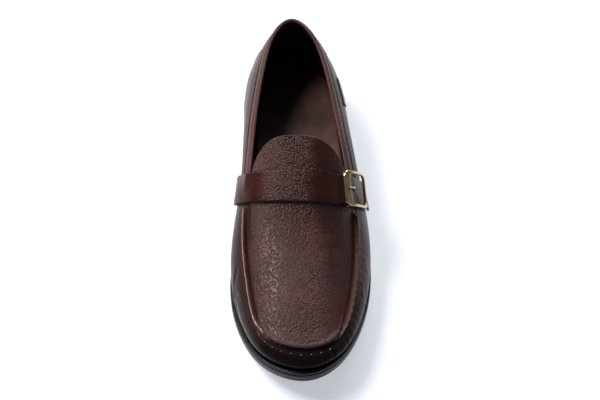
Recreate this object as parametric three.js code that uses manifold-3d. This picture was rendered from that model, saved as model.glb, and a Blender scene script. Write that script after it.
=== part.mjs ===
// A man's slip-on shoe for the left foot: moccasin toe, standing tongue, and a strap across
// the instep that is fastened at the outer side by a brass buckle.
// Millimetres, +Z up, toe towards -Y, outer (lateral) side towards +X, standing on the floor.
// The origin is on the floor, under the middle of the shoe's box.
//
// Inside this file a place is given as (along, across, up): along runs from the heel's back to
// the toe, across is positive towards the outer side, up is the height over the floor.

import * as THREE from "three";
import { mergeVertices } from "three/addons/utils/BufferGeometryUtils.js";
import Module from "manifold-3d";

const wasm = await Module();
wasm.setup();

// Driving sizes of the last and sole
const shoeLength = 300;
const ballWidth = 103;
const heelTopHeight = 85;
const heelThickness = 20.5;
const foreThickness = 12.5;
const toeSpring = 18;
const heelBlockLength = 74;
const heelBreastHeight = 9;
const breastSlope = 3;
const soleEdgeDepth = 2.6;
const springStart = 210;
const springCurve = 1.9;
const heelSlopeStart = 66;
const heelSlopeEnd = 165;
const archEnd = 141;

// Driving sizes of the upper
const upperWall = 2;
const wallSwell = 10;
const instepHeight = 80.5;
const featherInset = 7;
const bandHeight = 13.5;
const bandRelief = 0.7;
const seamRelief = 1.6;
const seamWidth = 5;
const seamDip = 1.6;
const roundnessAtThroat = 2.8;
const roundnessAtToe = 2;

// Driving sizes of the loose pieces
const clearance = 0.3;
const insoleThickness = 3;
const tongueThickness = 2.4;
const tongueReach = 24;
const tongueRise = 14.5;
const tongueSkew = 0.05;
const strapWidth = 24.5;
const strapThickness = 2;
const strapCentre = 174;
const strapLeanIn = 0.76;
const strapLeanOut = 0.46;
const strapLeanBlend = 30;
const strapGap = 0.7;
const strapTailWidth = 21.5;
const strapTailShift = 2.4;
const strapTaperStart = 12;
const strapTaperEnd = 34;
const strapTurn = 18;
const strapTurnLength = 8;
const strapSkew = 0.13;
const buckleReach = 36;
const strapTailLength = 36;
const holeSpacing = 7.5;
const counterThickness = 1.2;
const counterDrop = 23.5;
const tabLength = 24;
const tabHeight = 6;
const tabThickness = 1;
const tabDrop = 15;

// Driving sizes of the buckle
const buckleSideBar = 1.9;
const buckleLength = 28.5;
const buckleThickness = 2.2;
const buckleWideBar = 6;
const buckleThinBar = 2.2;
const buckleCorner = 4.5;
const buckleBow = 1.5;
const buckleBevel = 0.4;
const hingeBarDiameter = 2;
const hingeFromWideBar = 1.8;
const lugLength = 2.6;
const lugWidth = 1.5;
const prongDiameter = 1.8;
const holeDiameter = 2.8;

// How fine the meshes are
const ringSteps = 96;
const strapSteps = 40;
const strapLines = 6;
const strapSections = 8;
const tongueRows = 6;
const tongueSteps = 20;
const counterRows = 8;
const counterSteps = 24;
const roundSegments = 16;

// The last, a row for each section from heel to toe. along: place on the outsole's edge, in
// shoe lengths. soleIn, soleOut: half widths of the outsole, in ball widths. inset: how far the
// upper stands back from that edge, in feather insets. topAlong: place on the top line, in shoe
// lengths. topIn, topOut: its half widths, in ball widths. topInUp, topOutUp: its heights, in
// heel top heights. swellLow, swellHigh: how far the wall bulges low down and high up, in wall
// swells. The top line is the collar behind the throat and the moccasin seam in front of it.
const lastColumns = [
  "along", "soleIn", "soleOut", "inset", "topAlong", "topIn", "topOut", "topInUp", "topOutUp",
  "swellLow", "swellHigh",
];
const lastRows = [
  [0.0, 0.0, 0.0, 0.57, 0.05, 0.0, 0.0, 1.0, 1.0, 1.0, 0.35],
  [0.02, 0.2, 0.195, 0.57, 0.074, 0.106, 0.112, 0.985, 0.975, 1.0, 0.4],
  [0.075, 0.333, 0.33, 0.57, 0.132, 0.186, 0.2, 0.935, 0.912, 1.0, 0.55],
  [0.16, 0.372, 0.38, 0.57, 0.22, 0.243, 0.26, 0.865, 0.835, 1.0, 0.75],
  [0.26, 0.357, 0.395, 0.57, 0.308, 0.285, 0.298, 0.806, 0.776, 1.0, 0.9],
  [0.365, 0.345, 0.418, 0.57, 0.395, 0.315, 0.332, 0.765, 0.724, 1.0, 1.0],
  [0.47, 0.367, 0.455, 0.64, 0.485, 0.341, 0.368, 0.72, 0.66, 1.0, 1.0],
  [0.575, 0.433, 0.495, 0.71, 0.577, 0.367, 0.397, 0.65, 0.57, 1.0, 1.0],
  [0.68, 0.482, 0.505, 0.79, 0.672, 0.38, 0.4, 0.568, 0.485, 1.0, 0.95],
  [0.785, 0.468, 0.462, 0.86, 0.768, 0.362, 0.372, 0.515, 0.435, 0.95, 0.9],
  [0.885, 0.385, 0.362, 0.93, 0.865, 0.325, 0.315, 0.495, 0.425, 0.9, 0.85],
  [0.963, 0.235, 0.215, 1.0, 0.938, 0.228, 0.215, 0.49, 0.455, 0.85, 0.8],
  [1.0, 0.0, 0.0, 1.0, 0.966, 0.0, 0.0, 0.485, 0.485, 0.85, 0.8],
];

// The crown of the vamp between its seams, from the throat to the toe seam. at: share of that
// way. crown: height over the line between the seams, in shares of the crown at the throat.
const crownRows = [
  { at: 0.0, crown: 1.0 },
  { at: 0.13, crown: 0.79 },
  { at: 0.23, crown: 0.67 },
  { at: 0.33, crown: 0.6 },
  { at: 0.52, crown: 0.54 },
  { at: 0.74, crown: 0.42 },
  { at: 0.92, crown: 0.19 },
  { at: 1.0, crown: 0.0 },
];

// The moulded edge of the outsole from the floor up. up: share of the edge's height. back: how
// far it stands back from the outline, in edge depths.
const soleEdgeRows = [
  { up: 0.0, back: 1.0 },
  { up: 0.05, back: 0.5 },
  { up: 0.14, back: 0.3 },
  { up: 0.34, back: 0.22 },
  { up: 0.36, back: 0.55 },
  { up: 0.39, back: 0.55 },
  { up: 0.41, back: 0.08 },
  { up: 0.68, back: 0.0 },
  { up: 0.71, back: 0.6 },
  { up: 0.76, back: 0.6 },
  { up: 0.79, back: 0.04 },
  { up: 0.9, back: 0.0 },
  { up: 0.98, back: 0.25 },
  { up: 1.0, back: 0.65 },
];

// The wall's relief below the top line. drop: distance below it, in band heights. collar: the
// rolled edge and collar band, in band reliefs. seam: the lip beside the moccasin seam, in seam
// reliefs.
const wallReliefRows = [
  { drop: 0.0, collar: 0.0, seam: -0.3 },
  { drop: 0.07, collar: 1.0, seam: -0.2 },
  { drop: 0.16, collar: 1.3, seam: 0.6 },
  { drop: 0.25, collar: 0.7, seam: 0.6 },
  { drop: 0.34, collar: 1.0, seam: 0.0 },
  { drop: 0.94, collar: 1.0, seam: 0.0 },
  { drop: 1.0, collar: 0.0, seam: 0.0 },
];

// The raised ridge on the vamp's edge. from: distance from the seam, in seam widths. rise: in
// seam reliefs.
const vampReliefRows = [
  { from: 0.18, rise: 0.7 },
  { from: 0.45, rise: 1.0 },
  { from: 0.75, rise: 0.75 },
  { from: 1.0, rise: 0.0 },
];

const sectionCount = lastRows.length - 1;
const ringSpan = 2 * sectionCount;
const toeStation = sectionCount;
const throatStation = 6.75;
const counterReach = 1.75;
const tabStation = 20.85;
const prefilterPasses = 60;
const differenceStep = 0.01;
const bisectionSteps = 40;

const lastColumn = (name) => lastRows.map((row) => row[lastColumns.indexOf(name)]);
const smoothstep = (from, to, x) => THREE.MathUtils.smoothstep(x, from, to);
const mix = THREE.MathUtils.lerp;

// A smooth closed curve through values: a cubic B-spline whose control values are first worked
// out so that it passes through them.
function closedCurve(values) {
  const count = values.length;
  const at = (list, i) => list[((i % count) + count) % count];
  let control = values.slice();
  for (let pass = 0; pass < prefilterPasses; pass++) {
    control = values.map((v, i) => (6 * v - at(control, i - 1) - at(control, i + 1)) / 4);
  }
  return (u) => {
    const i = Math.floor(u);
    const t = u - i;
    return (
      (at(control, i - 1) * (1 - t) ** 3 +
        at(control, i) * (3 * t ** 3 - 6 * t ** 2 + 4) +
        at(control, i + 1) * (-3 * t ** 3 + 3 * t ** 2 + 3 * t + 1) +
        at(control, i + 2) * t ** 3) / 6
    );
  };
}

// The ring runs from the heel's back down the inner side to the toe and back on the outer side.
function ringCurve(inner, outer) {
  return closedCurve([...inner, ...outer.slice(1, -1).reverse()]);
}

function scaled(name, size) {
  return lastColumn(name).map((share) => share * size);
}

const outlineAlong = ringCurve(scaled("along", shoeLength), scaled("along", shoeLength));
const outlineAcross = ringCurve(scaled("soleIn", -ballWidth), scaled("soleOut", ballWidth));
const insetAt = ringCurve(scaled("inset", featherInset), scaled("inset", featherInset));
const topAlongAt = ringCurve(scaled("topAlong", shoeLength), scaled("topAlong", shoeLength));
const topAcrossAt = ringCurve(scaled("topIn", -ballWidth), scaled("topOut", ballWidth));
const topUpAt = ringCurve(scaled("topInUp", heelTopHeight), scaled("topOutUp", heelTopHeight));
const swellLowAt = ringCurve(scaled("swellLow", wallSwell), scaled("swellLow", wallSwell));
const swellHighAt = ringCurve(scaled("swellHigh", wallSwell), scaled("swellHigh", wallSwell));

// Reads a column of a table whose rows rise by a key, on a smooth curve through the rows.
function readTable(rows, key, column, x) {
  const last = rows.length - 1;
  const clamped = THREE.MathUtils.clamp(x, rows[0][key], rows[last][key]);
  const next = Math.max(1, rows.findIndex((row) => clamped <= row[key]));
  const slope = (i) => {
    const before = rows[Math.max(0, i - 1)];
    const after = rows[Math.min(last, i + 1)];
    return (after[column] - before[column]) / (after[key] - before[key]);
  };
  const span = rows[next][key] - rows[next - 1][key];
  const t = (clamped - rows[next - 1][key]) / span;
  return (
    rows[next - 1][column] * (1 + 2 * t) * (1 - t) ** 2 +
    rows[next][column] * t ** 2 * (3 - 2 * t) +
    slope(next - 1) * span * t * (1 - t) ** 2 -
    slope(next) * span * t ** 2 * (1 - t)
  );
}

// Finds x between low and high where a rising function passes zero.
function solveRising(rising, low, high) {
  for (let step = 0; step < bisectionSteps; step++) {
    const middle = (low + high) / 2;
    if (rising(middle) > 0) {
      high = middle;
    } else {
      low = middle;
    }
  }
  return (low + high) / 2;
}

// Heights of the sole. The floor line leaves the floor in front of the ball, by the toe spring.
function floorLine(along) {
  const t = THREE.MathUtils.clamp((along - springStart) / (shoeLength - springStart), 0, 1);
  return toeSpring * t ** springCurve;
}

function soleTop(along) {
  const heelShare = 1 - smoothstep(heelSlopeStart, heelSlopeEnd, along);
  return floorLine(along) + mix(foreThickness, heelThickness, heelShare);
}

function soleBottom(along) {
  const behind = smoothstep(heelBlockLength, heelBlockLength + breastSlope, along);
  const ahead = 1 - smoothstep(heelBlockLength, archEnd, along);
  return floorLine(along) + heelBreastHeight * behind * ahead;
}

// The outward normal of the sole's outline, in plan.
function outlineNormal(u) {
  const along = outlineAlong(u + differenceStep) - outlineAlong(u - differenceStep);
  const across = outlineAcross(u + differenceStep) - outlineAcross(u - differenceStep);
  const size = Math.hypot(along, across);
  return { along: across / size, across: -along / size };
}

// A point set back from the outline, at a height.
function ringPoint(u, back, up) {
  const normal = outlineNormal(u);
  const along = outlineAlong(u) - normal.along * back;
  const across = outlineAcross(u) - normal.across * back;
  return new THREE.Vector3(along, across, typeof up === "function" ? up(along) : up);
}

const featherPoint = (u) => ringPoint(u, insetAt(u), (along) => soleTop(along) + clearance);
const topPoint = (u) => new THREE.Vector3(topAlongAt(u), topAcrossAt(u), topUpAt(u));

// The upper's wall at ring place u and share v of its height, before any relief: a straight
// line from feather to top line that bulges outwards.
function wallPoint(u, v) {
  const normal = outlineNormal(u);
  const swell = 3 * v * (1 - v) * (swellLowAt(u) * (1 - v) + swellHighAt(u) * v);
  const point = featherPoint(u).lerp(topPoint(u), v);
  point.x += normal.along * swell;
  point.y += normal.across * swell;
  return point;
}

function surfaceNormal(surface, a, b) {
  const h = differenceStep;
  const alongA = surface(a + h, b).sub(surface(a - h, b));
  const alongB = surface(a, b + h).sub(surface(a, b - h));
  return alongA.cross(alongB).normalize();
}

const wallNormal = (u, v) => surfaceNormal(wallPoint, u, v);
const wallHeight = (u) => featherPoint(u).distanceTo(topPoint(u));

// The vamp between its two seams is a height over the plan. seamPair finds the two seam points
// that lie at the same place along the shoe.
const throatAlong = topAlongAt(throatStation);
const seamTip = topAlongAt(toeStation);

function seamPair(along) {
  const behindToe = solveRising((d) => along - topAlongAt(toeStation - d), 0, sectionCount / 2);
  return [topPoint(toeStation - behindToe), topPoint(toeStation + behindToe)];
}

const throatPair = seamPair(throatAlong);
const throatCrown = instepHeight - (throatPair[0].z + throatPair[1].z) / 2;

function vampHeight(along, across) {
  const [inner, outer] = seamPair(along);
  const span = Math.max(outer.y - inner.y, differenceStep);
  const t = THREE.MathUtils.clamp((across - inner.y) / span, 0, 1);
  const share = (along - throatAlong) / (seamTip - throatAlong);
  const roundness = mix(roundnessAtThroat, roundnessAtToe, THREE.MathUtils.clamp(share, 0, 1));
  const crown = throatCrown * readTable(crownRows, "at", "crown", share);
  return mix(inner.z, outer.z, t) + crown * (1 - Math.abs(2 * t - 1) ** roundness);
}

// Behind the throat the tongue carries the throat's section on, rising towards the leg.
function instepHeightAt(along, across) {
  const behind = Math.max(0, throatAlong - along);
  return vampHeight(Math.max(along, throatAlong), across) + (behind * tongueRise) / tongueReach;
}

const instepPoint = (along, across) =>
  new THREE.Vector3(along, across, instepHeightAt(along, across));
const instepNormal = (along, across) => surfaceNormal(instepPoint, along, across);

// A closed body under construction: points, and faces that look outwards.
class Body {
  constructor() {
    this.points = [];
    this.faces = [];
  }

  point(p) {
    this.points.push(p.x, p.y, p.z);
    return this.points.length / 3 - 1;
  }

  row(list) {
    return list.map((p) => this.point(p));
  }

  triangle(a, b, c) {
    if (a !== b && b !== c && c !== a) {
      this.faces.push(a, b, c);
    }
  }

  quad(a, b, c, d) {
    this.triangle(a, b, c);
    this.triangle(a, c, d);
  }

  // Faces between two rows of points; a closed strip joins the last pair to the first.
  strip(first, second, closed = false) {
    const count = closed ? first.length : first.length - 1;
    for (let i = 0; i < count; i++) {
      const j = (i + 1) % first.length;
      this.quad(first[i], first[j], second[j], second[i]);
    }
  }

  // Closes a ring by rungs between points that lie opposite each other.
  closeRing(ring, upwards) {
    const half = ring.length / 2;
    const opposite = (i) => ring[(ring.length - i) % ring.length];
    for (let i = 0; i < half; i++) {
      if (upwards) {
        this.quad(ring[i], ring[i + 1], opposite(i + 1), opposite(i));
      } else {
        this.quad(opposite(i), opposite(i + 1), ring[i + 1], ring[i]);
      }
    }
  }

  geometry() {
    const result = new THREE.BufferGeometry();
    result.setAttribute("position", new THREE.Float32BufferAttribute(this.points, 3));
    result.setIndex(this.faces);
    result.computeVertexNormals();
    return result;
  }
}

// A plate over a grid of points, each with its outward normal: a lower face at one height over
// them, an upper face at another, and edges all round.
function plate(grid, lower, upper) {
  const body = new Body();
  const lift = (height) =>
    grid.map((row) =>
      body.row(row.map(({ point, normal }) => point.clone().addScaledVector(normal, height))),
    );
  const under = lift(lower);
  const over = lift(upper);
  const last = grid.length - 1;
  for (let i = 0; i < last; i++) {
    body.strip(over[i], over[i + 1]);
    body.strip(under[i + 1], under[i]);
  }
  body.strip(under[0], over[0]);
  body.strip(over[last], under[last]);
  const column = (rows, j) => rows.map((row) => row.at(j));
  body.strip(column(over, 0), column(under, 0));
  body.strip(column(under, -1), column(over, -1));
  return body.geometry();
}

const steps = (count) => Array.from({ length: count + 1 }, (_, i) => i / count);
const ringPlaces = Array.from({ length: ringSteps }, (_, i) => (i * ringSpan) / ringSteps);

// The outsole has places of its own at the heel's breast, so that its edge is a clean one.
const breastPlaces = [heelBlockLength, heelBlockLength + breastSlope].map((along) =>
  solveRising((u) => outlineAlong(u) - along, 0, toeStation),
);
const outsolePlaces = [
  ...ringPlaces,
  ...breastPlaces,
  ...breastPlaces.map((u) => ringSpan - u),
].toSorted((a, b) => a - b);

// Over the arch the rows of the edge that would lie under the sole are stacked on its underside.
const leastRowShare = 0.01;

function buildOutsole() {
  const body = new Body();
  const rows = soleEdgeRows.map(({ up, back }, index) => {
    const height = (along) => {
      const top = soleTop(along);
      const bottom = soleBottom(along);
      const level = mix(floorLine(along), top, up);
      return Math.max(level, mix(bottom, top, index * leastRowShare));
    };
    return body.row(outsolePlaces.map((u) => ringPoint(u, back * soleEdgeDepth, height)));
  });
  for (let i = 1; i < rows.length; i++) {
    body.strip(rows[i - 1], rows[i], true);
  }
  body.closeRing(rows[rows.length - 1], true);
  body.closeRing(rows[0], false);
  return body.geometry();
}

function buildInsole() {
  const body = new Body();
  const back = (u) => insetAt(u) + upperWall + 2 * clearance;
  const ringAt = (lift) =>
    body.row(ringPlaces.map((u) => ringPoint(u, back(u), (along) => soleTop(along) + lift)));
  const under = ringAt(clearance);
  const over = ringAt(clearance + insoleThickness);
  body.strip(under, over, true);
  body.closeRing(over, true);
  body.closeRing(under, false);
  return body.geometry();
}

// The strap lies in a slanting plane, square to the instep's slope. strapPlane gives the place
// along the shoe where that plane, moved by an offset towards the toe, has a given height.
const strapCrestUp = instepHeightAt(strapCentre, 0);
function strapPlane(offset, across, up) {
  const side = smoothstep(-strapLeanBlend, strapLeanBlend, across);
  const lean = mix(strapLeanIn, strapLeanOut, side);
  return strapCentre + offset * Math.hypot(1, strapLeanOut) - lean * (strapCrestUp - up);
}

// The strap covers the throat, so the reliefs of collar and seam fade out under it: the collar's
// between two ring stations, the seam's over a length in front of the strap's edge.
const collarFadeStations = [5.5, 6.05];
const seamFadeLengths = [2.5, 6.5];
const fromHeel = (u) => Math.min(u, ringSpan - u);
const collarFade = (u) => 1 - smoothstep(...collarFadeStations, fromHeel(u));

function seamFade(u) {
  const seam = topPoint(u);
  const ahead = seam.x - strapPlane(strapWidth / 2, seam.y, seam.z);
  return smoothstep(...seamFadeLengths, ahead);
}

const inFront = (u) => fromHeel(u) >= throatStation;

// Relief rows shrink where the wall is too low for them.
const mostRelief = 0.75;
const reliefHeight = (u) => Math.min(bandHeight, mostRelief * wallHeight(u));

function wallOuter(u, v, row) {
  const collar = bandRelief * row.collar * collarFade(u);
  const seam = inFront(u) ? seamRelief * row.seam * seamFade(u) : 0;
  return wallPoint(u, v).addScaledVector(wallNormal(u, v), collar + seam);
}

const plainRow = { collar: 0, seam: 0 };
const lowerWallShares = [0, 0.2, 0.4, 0.6, 0.8];
const innerWallShares = [1, 0.88, 0.7, 0.5, 0.3, 0.12, 0];

// The rows of the wall's outer face from the feather up, as shares of its height at u.
function wallRows(u) {
  const drops = wallReliefRows.map((row) => ({
    row,
    v: 1 - (row.drop * reliefHeight(u)) / wallHeight(u),
  }));
  const lowest = drops[drops.length - 1].v;
  return [...lowerWallShares.map((t) => ({ row: plainRow, v: t * lowest })), ...drops.reverse()];
}

// The spine of the vamp, where its inner and outer halves meet: behind the toe it stays put and
// the rows fan round its end.
const spineSetback = 0.13;
const spineEnd = seamTip - spineSetback * shoeLength;

function spinePoint(u) {
  const along = Math.min(topAlongAt(u), spineEnd);
  const [inner, outer] = seamPair(along);
  return new THREE.Vector3(along, (inner.y + outer.y) / 2, 0);
}

const vampShares = [0.35, 0.7, 1];

const vampReach = (u) => Math.hypot(spinePoint(u).x - topPoint(u).x, spinePoint(u).y - topPoint(u).y);

// One point of the vamp on the line from the seam at u to the spine.
function vampPoint(u, distance, rise) {
  const seam = topPoint(u);
  const spine = spinePoint(u);
  const t = distance / vampReach(u);
  const along = mix(seam.x, spine.x, t);
  const across = mix(seam.y, spine.y, t);
  const relief = rise * seamRelief * seamFade(u);
  return instepPoint(along, across).addScaledVector(instepNormal(along, across), relief);
}

function vampRows(u) {
  const ridge = vampReliefRows.map(({ from, rise }) => ({ distance: from * seamWidth, rise }));
  const rest = vampShares.map((t) => ({ distance: mix(seamWidth, vampReach(u), t), rise: 0 }));
  return [...ridge, ...rest];
}

function inwards(point, normal, depth) {
  return point.clone().addScaledVector(normal, -depth);
}

// A point of the wall's inner face. At the feather and at the top line it lies level with the
// outer face, and under the seam it dips.
function wallInner(u, v) {
  const wall = wallPoint(u, v);
  if (v > 0 && v < 1) {
    return inwards(wall, wallNormal(u, v), upperWall);
  }
  const normal = outlineNormal(u);
  const level = inwards(wall, new THREE.Vector3(normal.along, normal.across, 0), upperWall);
  return v === 1 && inFront(u) ? level.setZ(wall.z - seamDip) : level;
}

function buildUpper() {
  const body = new Body();
  const throat = Math.round((throatStation * ringSteps) / ringSpan);
  const outer = wallRows(0).map((_, k) =>
    body.row(ringPlaces.map((u) => wallOuter(u, wallRows(u)[k].v, wallRows(u)[k].row))),
  );
  const inner = innerWallShares.map((v) => body.row(ringPlaces.map((u) => wallInner(u, v))));
  for (let k = 1; k < outer.length; k++) {
    body.strip(outer[k - 1], outer[k], true);
  }
  for (let k = 1; k < inner.length; k++) {
    body.strip(inner[k - 1], inner[k], true);
  }
  body.strip(inner[inner.length - 1], outer[0], true);

  const outerTop = outer[outer.length - 1];
  const innerTop = inner[0];
  const collarPlaces = [];
  for (let i = ringSteps - throat; i <= ringSteps + throat; i++) {
    collarPlaces.push(i % ringSteps);
  }
  body.strip(
    collarPlaces.map((i) => outerTop[i]),
    collarPlaces.map((i) => innerTop[i]),
  );

  const vampPlaces = [];
  for (let i = throat; i <= ringSteps - throat; i++) {
    vampPlaces.push(i);
  }
  const spineIndex = new Map();
  const vampRow = (k, depth) => {
    const isSpine = k === vampReliefRows.length + vampShares.length - 1;
    return vampPlaces.map((i) => {
      const u = ringPlaces[i];
      const { distance, rise } = vampRows(u)[k];
      const key = `${depth} ${Math.min(topAlongAt(u), spineEnd).toFixed(3)}`;
      if (isSpine && spineIndex.has(key)) {
        return spineIndex.get(key);
      }
      const point = vampPoint(u, distance, depth > 0 ? 0 : rise);
      const index = body.point(inwards(point, instepNormal(point.x, point.y), depth));
      if (isSpine) {
        spineIndex.set(key, index);
      }
      return index;
    });
  };
  const rowNumbers = vampRows(toeStation).map((_, k) => k);
  const vampOuter = [vampPlaces.map((i) => outerTop[i]), ...rowNumbers.map((k) => vampRow(k, 0))];
  const vampInner = [
    vampPlaces.map((i) => innerTop[i]),
    ...rowNumbers.map((k) => vampRow(k, upperWall)),
  ];
  for (let k = 1; k < vampOuter.length; k++) {
    body.strip(vampOuter[k - 1], vampOuter[k]);
    body.strip(vampInner[k], vampInner[k - 1]);
    body.quad(vampOuter[k - 1][0], vampOuter[k][0], vampInner[k][0], vampInner[k - 1][0]);
    body.quad(
      vampOuter[k].at(-1), vampOuter[k - 1].at(-1), vampInner[k - 1].at(-1), vampInner[k].at(-1),
    );
  }
  return body.geometry();
}

// The tongue starts where the vamp ends, at the throat, and its free end is an arch.
const shortestTongue = 0.14;
const tongueArch = (t) => mix(shortestTongue, 1, (1 - Math.abs(t) ** 3.5) ** 0.46);

function buildTongue() {
  const sideGap = upperWall + 5 * clearance;
  const innerSide = throatPair[0].y + sideGap;
  const outerSide = throatPair[1].y - sideGap;
  const front = throatAlong - clearance;
  const grid = steps(tongueRows).map((t) =>
    steps(tongueSteps).map((s) => {
      const offCentre = 2 * (s + tongueSkew * Math.sin(Math.PI * s)) - 1;
      const along = front - t * tongueArch(offCentre) * tongueReach;
      const across = mix(innerSide, outerSide, s);
      const point = instepPoint(along, across);
      return { point, normal: instepNormal(along, across) };
    }),
  );
  return plate(grid, -tongueThickness, 0);
}

// Where the strap's section is looked for: ring stations on the walls, and places on the instep.
const sectionStations = [4.5, 9.5];
const sectionAlong = [0.4 * shoeLength, 0.8 * shoeLength];
const sectionWallShares = steps(10);
const sectionInstepShares = steps(28).slice(1, -1);

// Points of the upper's section in that plane, from the inner feather over the instep to the
// outer feather.
function upperSection(offset) {
  const onWall = (side, v) => {
    const place = (d) => (side < 0 ? d : ringSpan - d);
    const d = solveRising(
      (d) => {
        const p = wallPoint(place(d), v);
        return p.x - strapPlane(offset, p.y, p.z);
      },
      ...sectionStations,
    );
    return wallPoint(place(d), v);
  };
  const onInstep = (across) => {
    const along = solveRising(
      (a) => a - strapPlane(offset, across, instepHeightAt(a, across)),
      ...sectionAlong,
    );
    return instepPoint(along, across);
  };
  const innerEdge = onWall(-1, 1).y;
  const outerEdge = onWall(1, 1).y;
  return [
    ...sectionWallShares.map((v) => onWall(-1, v)),
    ...sectionInstepShares.map((t) => onInstep(mix(innerEdge, outerEdge, t))),
    ...sectionWallShares.toReversed().map((v) => onWall(1, v)),
  ];
}

// A taut strap bridges hollows: the convex hull of a section, without its foot.
function tautOver(section) {
  const turn = (o, a, b) => (a.y - o.y) * (b.z - o.z) - (a.z - o.z) * (b.y - o.y);
  const chain = (points) => {
    const kept = [];
    for (const p of points) {
      while (kept.length > 1 && turn(kept.at(-2), kept.at(-1), p) <= 0) {
        kept.pop();
      }
      kept.push(p);
    }
    return kept.slice(0, -1);
  };
  const sorted = section.toSorted((a, b) => a.y - b.y || a.z - b.z);
  const hull = [...chain(sorted), ...chain(sorted.toReversed())].reverse();
  const start = hull.indexOf(section[0]);
  const ordered = [...hull.slice(start), ...hull.slice(0, start)];
  return ordered.slice(0, ordered.indexOf(section.at(-1)) + 1);
}

// Walks along a section: at(length) gives the point and outward normal that lie this far from
// the instep's middle, positive towards the outer side.
const normalReach = 0.6;

function walkSection(points) {
  const lengths = [0];
  for (let i = 1; i < points.length; i++) {
    const step = Math.hypot(points[i].y - points[i - 1].y, points[i].z - points[i - 1].z);
    lengths.push(lengths[i - 1] + step);
  }
  const crossing = points.findIndex((p) => p.y > 0);
  const part = -points[crossing - 1].y / (points[crossing].y - points[crossing - 1].y);
  const middle = mix(lengths[crossing - 1], lengths[crossing], part);
  const pointAt = (length) => {
    const wanted = THREE.MathUtils.clamp(middle + length, 0, lengths.at(-1));
    const next = Math.max(1, lengths.findIndex((l) => l >= Math.min(wanted, lengths.at(-1))));
    const t = (wanted - lengths[next - 1]) / (lengths[next] - lengths[next - 1]);
    return points[next - 1].clone().lerp(points[next], t);
  };
  const at = (length) => {
    const ahead = pointAt(length + normalReach);
    const behind = pointAt(length - normalReach);
    const normal = new THREE.Vector3(0, behind.z - ahead.z, ahead.y - behind.y).normalize();
    return { point: pointAt(length), normal };
  };
  return { at, innerLength: middle, outerLength: lengths.at(-1) - middle };
}

// The strap narrows towards the buckle, more at its heel edge, and turns a little to the heel.
// length: from the instep's middle. centre: offset of the middle line, towards the toe.
function strapCourse(length) {
  const taper = THREE.MathUtils.smoothstep(length, strapTaperStart, strapTaperEnd);
  const past = Math.max(0, length - strapTurn);
  return {
    centre: strapTailShift * taper - (strapSkew * past ** 2) / (past + strapTurnLength),
    half: mix(strapWidth, strapTailWidth, taper) / 2,
  };
}

// The strap's underside along one line, lifted over the buckle's hinge bar, which lies square
// to the turned tail.
const hingeLift = hingeBarDiameter + 2 * clearance;
const hingeCentre = strapCourse(buckleReach).centre;

function strapLine(offset) {
  const section = upperSection(offset);
  const plain = walkSection(tautOver(section));
  const hinge = plain.at(buckleReach + strapSkew * (offset - hingeCentre));
  const lifted = hinge.point.clone().addScaledVector(hinge.normal, hingeLift);
  return {
    offset, hinge,
    walk: walkSection(tautOver([...section.slice(0, -1), lifted, section.at(-1)])),
  };
}

const tailEnd = strapCourse(buckleReach + strapTailLength);
const strapLineTable = steps(strapSections).map((t) =>
  strapLine(mix(strapWidth / 2, tailEnd.centre - tailEnd.half, t)),
);

// The strap's underside at a length and an offset, read between the lines.
function strapAt(length, offset) {
  const last = strapLineTable.length - 1;
  const first = strapLineTable[0].offset;
  const place = (last * (first - offset)) / (first - strapLineTable[last].offset);
  const i = THREE.MathUtils.clamp(Math.floor(place), 0, last - 1);
  const near = strapLineTable[i].walk.at(length);
  const far = strapLineTable[i + 1].walk.at(length);
  return {
    point: near.point.lerp(far.point, place - i),
    normal: near.normal.lerp(far.normal, place - i).normalize(),
  };
}

const innerStepShare = 0.4;

function strapGrid() {
  const innerSteps = Math.round(innerStepShare * strapSteps);
  const footGap = strapGap + strapThickness + 2 * clearance;
  const innerEnd = Math.min(...strapLineTable.map(({ walk }) => walk.innerLength)) - footGap;
  const outerRoom = Math.min(...strapLineTable.map(({ walk }) => walk.outerLength)) - footGap;
  const outerEnd = Math.min(buckleReach + strapTailLength, outerRoom);
  const places = [
    ...steps(innerSteps).map((a) => -innerEnd * (1 - a)),
    ...steps(strapSteps - innerSteps).slice(1).map((a) => outerEnd * a),
  ];
  return steps(strapLines).map((t) =>
    places.map((length) => {
      const { centre, half } = strapCourse(length);
      return strapAt(length, centre + half * (1 - 2 * t));
    }),
  );
}

function toSolid(geometry) {
  const bare = geometry.clone();
  bare.deleteAttribute("normal");
  bare.deleteAttribute("uv");
  const merged = mergeVertices(bare);
  return new wasm.Manifold(
    new wasm.Mesh({
      numProp: 3,
      vertProperties: new Float32Array(merged.attributes.position.array),
      triVerts: new Uint32Array(merged.index.array),
    }),
  );
}

function toGeometry(solid) {
  const mesh = solid.getMesh();
  const result = new THREE.BufferGeometry();
  result.setAttribute("position", new THREE.Float32BufferAttribute(mesh.vertProperties, 3));
  result.setIndex(Array.from(mesh.triVerts));
  result.computeVertexNormals();
  return result;
}

// The buckle's own frame stands on the strap's outer face over the hinge bar: x runs down the
// strap to its tail, y towards the heel, z away from the shoe.
function buckleFrame() {
  const onMiddle = (length) => strapAt(length, strapCourse(length).centre).point;
  const hinge = strapLine(hingeCentre).hinge;
  const rise = hingeLift + strapGap + strapThickness;
  const origin = hinge.point.clone().addScaledVector(hinge.normal, rise);
  const above = onMiddle(buckleReach - buckleWideBar);
  const below = onMiddle(buckleReach + buckleLength - buckleWideBar);
  const down = below.sub(above).normalize();
  const front = strapLine(hingeCentre + strapTailWidth / 2).hinge.point;
  const back = strapLine(hingeCentre - strapTailWidth / 2).hinge.point;
  const heelwards = back.sub(front);
  heelwards.addScaledVector(down, -heelwards.dot(down)).normalize();
  const outwards = down.clone().cross(heelwards);
  return new THREE.Matrix4().makeBasis(down, heelwards, outwards).setPosition(origin);
}

const buckleMatrix = buckleFrame();
const buckleTop = -buckleWideBar - hingeFromWideBar;
const buckleWidth = strapTailWidth + 2 * (clearance + buckleSideBar);

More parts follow.
